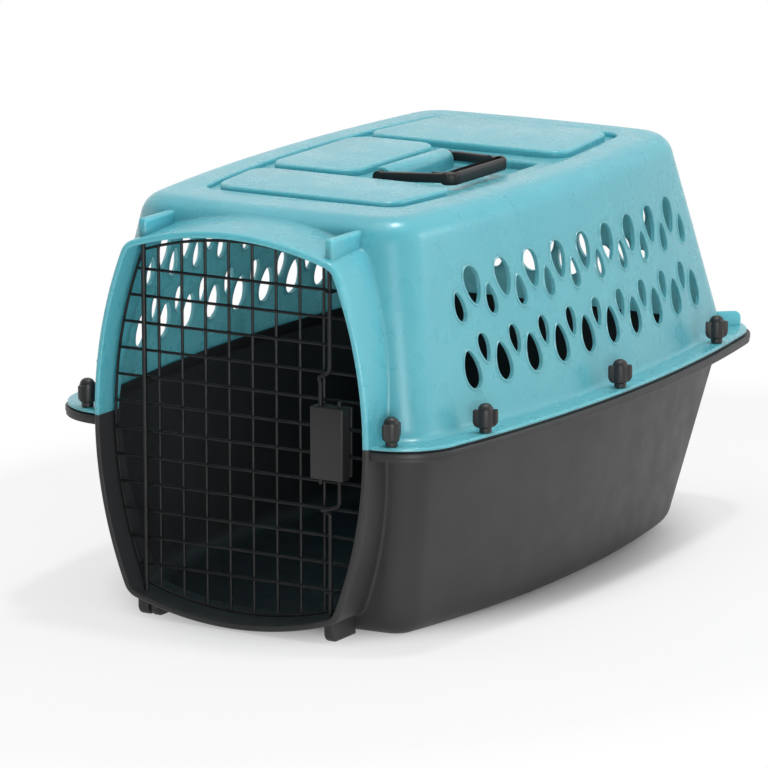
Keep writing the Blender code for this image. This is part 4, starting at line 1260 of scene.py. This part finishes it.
# %% Nut and bolt
NUT_PROFILE = [(0, 0), (0.0050, 0), (0.0057, 0.0007), (0.0057, 0.0042), (0.0074, 0.0058), (0.0076, 0.0072),
               (0.0076, 0.0186), (0.0074, 0.0208), (0.0067, 0.0232), (0.0052, 0.0254), (0.0028, 0.0267),
               (0, 0.0270)]
WING_ROOT, WING_REACH, WING_THICK, WING_SET = 0.0050, 0.0108, 0.0046, 0.0034
WING_LOW, WING_HIGH = 0.0046, 0.0212
WING_HEEL, WING_CORNER, WING_EDGE = 0.0058, 0.0016, 0.0008
BOLT_HEAD = 0.0032
BOLT_PROFILE = [(0, -BOLT_HEAD), (0.0030, -0.0031), (0.0043, -0.0025), (0.0049, -0.0014), (0.0049, 0),
                (0.0025, 0), (0.0025, 0.0195), (0.0020, 0.020), (0, 0.020)]
NUT_STEPS, BOLT_STEPS = 40, 24


def nut_shape():
    nut = solid("nut", turned(NUT_PROFILE, NUT_STEPS))
    wings = []
    for sign in (-1, 1):
        left, right = sorted((-sign * WING_ROOT, sign * WING_REACH))
        middle = sign * WING_SET
        wing = block((left, middle - WING_THICK / 2, WING_LOW), (right, middle + WING_THICK / 2, WING_HIGH))
        ends = [e for e in wing.edges if abs(e.verts[0].co.y - e.verts[1].co.y) > WING_THICK / 2]
        outer = [e for e in ends if all(v.co.x * sign > WING_REACH - TOUCH for v in e.verts)]
        for edge in outer:
            soft_edges(wing, [edge], WING_HEEL if edge.verts[0].co.z < WING_HIGH / 2 else WING_CORNER, 6)
        soft_edges(wing, edges_facing(wing, 1), WING_EDGE, 3)
        wings.append(wing)
    return carve(nut, "UNION", wings)


# %% Fasteners in their places
NUT_TURN = {"front": 60, "side_front": 15, "side_middle": 20, "side_rear": 25}


def fasten(pattern, place, side, turn):
    """A nut and its bolt at one of the eight places."""
    node = f"wing_nut_{place}_{side}"
    bolt_low, bolt_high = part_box(f"bolt_{place}_{side}")
    centre = (bolt_low + bolt_high) / 2
    nut = bpy.data.objects.new(f"nut_{place}_{side}", pattern.data.copy())
    bpy.context.scene.collection.objects.link(nut)
    seat = Vector((centre.x, centre.y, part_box(node)[0].z))
    nut.data.transform(Matrix.Translation(seat) @ Matrix.Rotation(radians(turn), 4, "Z"))
    finished(nut, f"nut_{place}_{side}", "dark_fitting", fitting, node)
    shank = turned(BOLT_PROFILE, BOLT_STEPS)
    bmesh.ops.translate(shank, verts=shank.verts[:], vec=(centre.x, centre.y, bolt_low.z + BOLT_HEAD))
    bolt = solid(f"screw_{place}_{side}", shank)
    finished(bolt, "shell", "plain_steel", steel, f"bolt_{place}_{side}")


pattern = nut_shape()
for place, turn in NUT_TURN.items():
    for side in ("right", "left"):
        fasten(pattern, place, side, turn)
bpy.data.objects.remove(pattern)

# %% [markdown]
# ## Studio
# The camera stands where the photograph was taken from, a long lens five metres away. A pale floor keeps
# the shadow near the carrier and turns plain white for the camera further out, which is done in its
# material, so that no more light falls on the carrier. Five disk lamps light it: a small key lamp overhead
# for the shadows, a large soft one beside it, one on each side, and one low at the front that reaches
# through the door. The world fills in, dimmer at the front so that the dark plastic doesn't wash out, and
# the camera always sees it white.

# %% Camera
CAMERA_TARGET, CAMERA_DISTANCE = Vector((0.15267, -0.320, 0.2457)), 5.1633
CAMERA_AZIMUTH, CAMERA_ELEVATION, CAMERA_ROLL = radians(30.697), radians(12.351), radians(-0.088)
FOCAL_PIXELS, FRAME_PIXELS, SENSOR, CLIP_END = 5731.8, 768, 36.0, 50.0


def aim_camera():
    data = bpy.data.cameras.new("camera")
    data.sensor_width = SENSOR
    data.lens = FOCAL_PIXELS * SENSOR / FRAME_PIXELS
    data.clip_end = CLIP_END
    camera = bpy.data.objects.new("camera", data)
    bpy.context.scene.collection.objects.link(camera)
    flat = cos(CAMERA_ELEVATION)
    back = Vector((sin(CAMERA_AZIMUTH) * flat, -cos(CAMERA_AZIMUTH) * flat, sin(CAMERA_ELEVATION)))
    right = Vector((cos(CAMERA_AZIMUTH), sin(CAMERA_AZIMUTH), 0))
    up = back.cross(right)
    axes = Matrix((right, up, back)).transposed().to_4x4()
    place = Matrix.Translation(CAMERA_TARGET + back * CAMERA_DISTANCE)
    camera.matrix_world = place @ axes @ Matrix.Rotation(CAMERA_ROLL, 4, "Z")
    bpy.context.scene.camera = camera
    return camera


print(f"lens {aim_camera().data.lens:.1f} mm")

# %% Floor
FLOOR_HALF, FLOOR_PAINT, FLOOR_ROUGHNESS = 8.0, (0.90, 0.90, 0.90, 1), 0.7
FOOTPRINT = (0.185, 0.275, 1.0)
NEAR_GLOW, FAR_GLOW = (0.95, 1.45, 0.0, 0.68), (1.8, 3.4, 0.0, 1.0)


def backdrop_rays(tree):
    """1 for rays that look at the background, 0 for rays that light the carrier."""
    path = tree.nodes.new("ShaderNodeLightPath")
    total = path.outputs["Is Camera Ray"]
    for name in ("Is Glossy Ray", "Is Transmission Ray"):
        total = combined(tree, "MAXIMUM", total, path.outputs[name])
    return total


def footprints_away(tree):
    """Distance from the carrier's middle, with 1 about at the edge of its footprint."""
    steps = tree.nodes.new("ShaderNodeVectorMath")
    steps.operation = "DIVIDE"
    steps.inputs[1].default_value = FOOTPRINT
    wire_up(tree, tree.nodes.new("ShaderNodeTexCoord").outputs["Object"], steps.inputs[0])
    reach = tree.nodes.new("ShaderNodeVectorMath")
    reach.operation = "LENGTH"
    wire_up(tree, steps.outputs["Vector"], reach.inputs[0])
    return reach.outputs["Value"]


def studio_floor():
    """A pale floor that shades near the carrier and turns plain white for the camera further out."""
    shape = bmesh.new()
    bmesh.ops.create_grid(shape, x_segments=1, y_segments=1, size=FLOOR_HALF)
    floor = solid("studio_floor", shape)
    look, tree, shader = new_finish("floor paint")
    shader.inputs["Base Color"].default_value = FLOOR_PAINT
    shader.inputs["Roughness"].default_value = FLOOR_ROUGHNESS
    white = tree.nodes.new("ShaderNodeEmission")
    away = footprints_away(tree)
    near, far = (stretched(tree, away, span, smooth=True) for span in (NEAR_GLOW, FAR_GLOW))
    share = combined(tree, "MULTIPLY", combined(tree, "MAXIMUM", near, far), backdrop_rays(tree))
    mix = tree.nodes.new("ShaderNodeMixShader")
    wire_up(tree, share, mix.inputs["Fac"])
    wire_up(tree, shader.outputs["BSDF"], mix.inputs[1])
    wire_up(tree, white.outputs["Emission"], mix.inputs[2])
    wire_up(tree, mix.outputs["Shader"], tree.nodes["Material Output"].inputs["Surface"])
    floor.data.materials.append(look)
    print(f"{floor.name}: {2 * FLOOR_HALF:.0f} m wide")


studio_floor()

# %% World and lamps
ROOM_FILL, BACKDROP = 0.52, 1.0
ROOM_DIM = (-0.55, 0.15, 0.15, 1.0)
# name, place, target, size, power
LAMPS = (
    ("key", (0.45, 0.1, 2.7), (0, 0, 0.2), 0.30, 24.0),
    ("overhead", (0.0, -0.6, 2.6), (0, 0, 0.2), 2.0, 15.0),
    ("right", (2.6, 1.5, 1.3), (0, 0, 0.2), 1.2, 13.0),
    ("left", (-2.6, -0.9, 1.0), (0, 0, 0.2), 1.2, 5.0),
    ("front", (2.0, -2.4, 0.3), (0, -0.2, 0.2), 1.2, 50.0),
)


def studio_world():
    """An even fill that is dimmer at the front, and white wherever the camera sees it."""
    world = bpy.data.worlds.new("studio")
    bpy.context.scene.world = world
    world.use_nodes = True
    tree = world.node_tree
    shade = tree.nodes["Background"]
    shade.inputs["Color"].default_value = (1, 1, 1, 1)
    strength = stretched(tree, backdrop_rays(tree), (0.0, 1.0, ROOM_FILL, BACKDROP))
    heading = tree.nodes.new("ShaderNodeSeparateXYZ")
    wire_up(tree, tree.nodes.new("ShaderNodeTexCoord").outputs["Generated"], heading.inputs["Vector"])
    dim = stretched(tree, heading.outputs["Y"], ROOM_DIM, smooth=True)
    camera_ray = tree.nodes.new("ShaderNodeLightPath").outputs["Is Camera Ray"]
    seen = combined(tree, "MAXIMUM", dim, camera_ray)
    wire_up(tree, combined(tree, "MULTIPLY", strength, seen), shade.inputs["Strength"])


def lamp(name, place, target, size, power):
    data = bpy.data.lights.new(name, "AREA")
    data.shape = "DISK"
    data.size = size
    data.energy = power
    light = bpy.data.objects.new(name, data)
    bpy.context.scene.collection.objects.link(light)
    light.location = place
    light.rotation_euler = (Vector(place) - Vector(target)).to_track_quat("Z", "Y").to_euler()


studio_world()
for row in LAMPS:
    lamp(*row)
bpy.context.scene.view_settings.view_transform = "Standard"
print("lamps:", [row[0] for row in LAMPS])
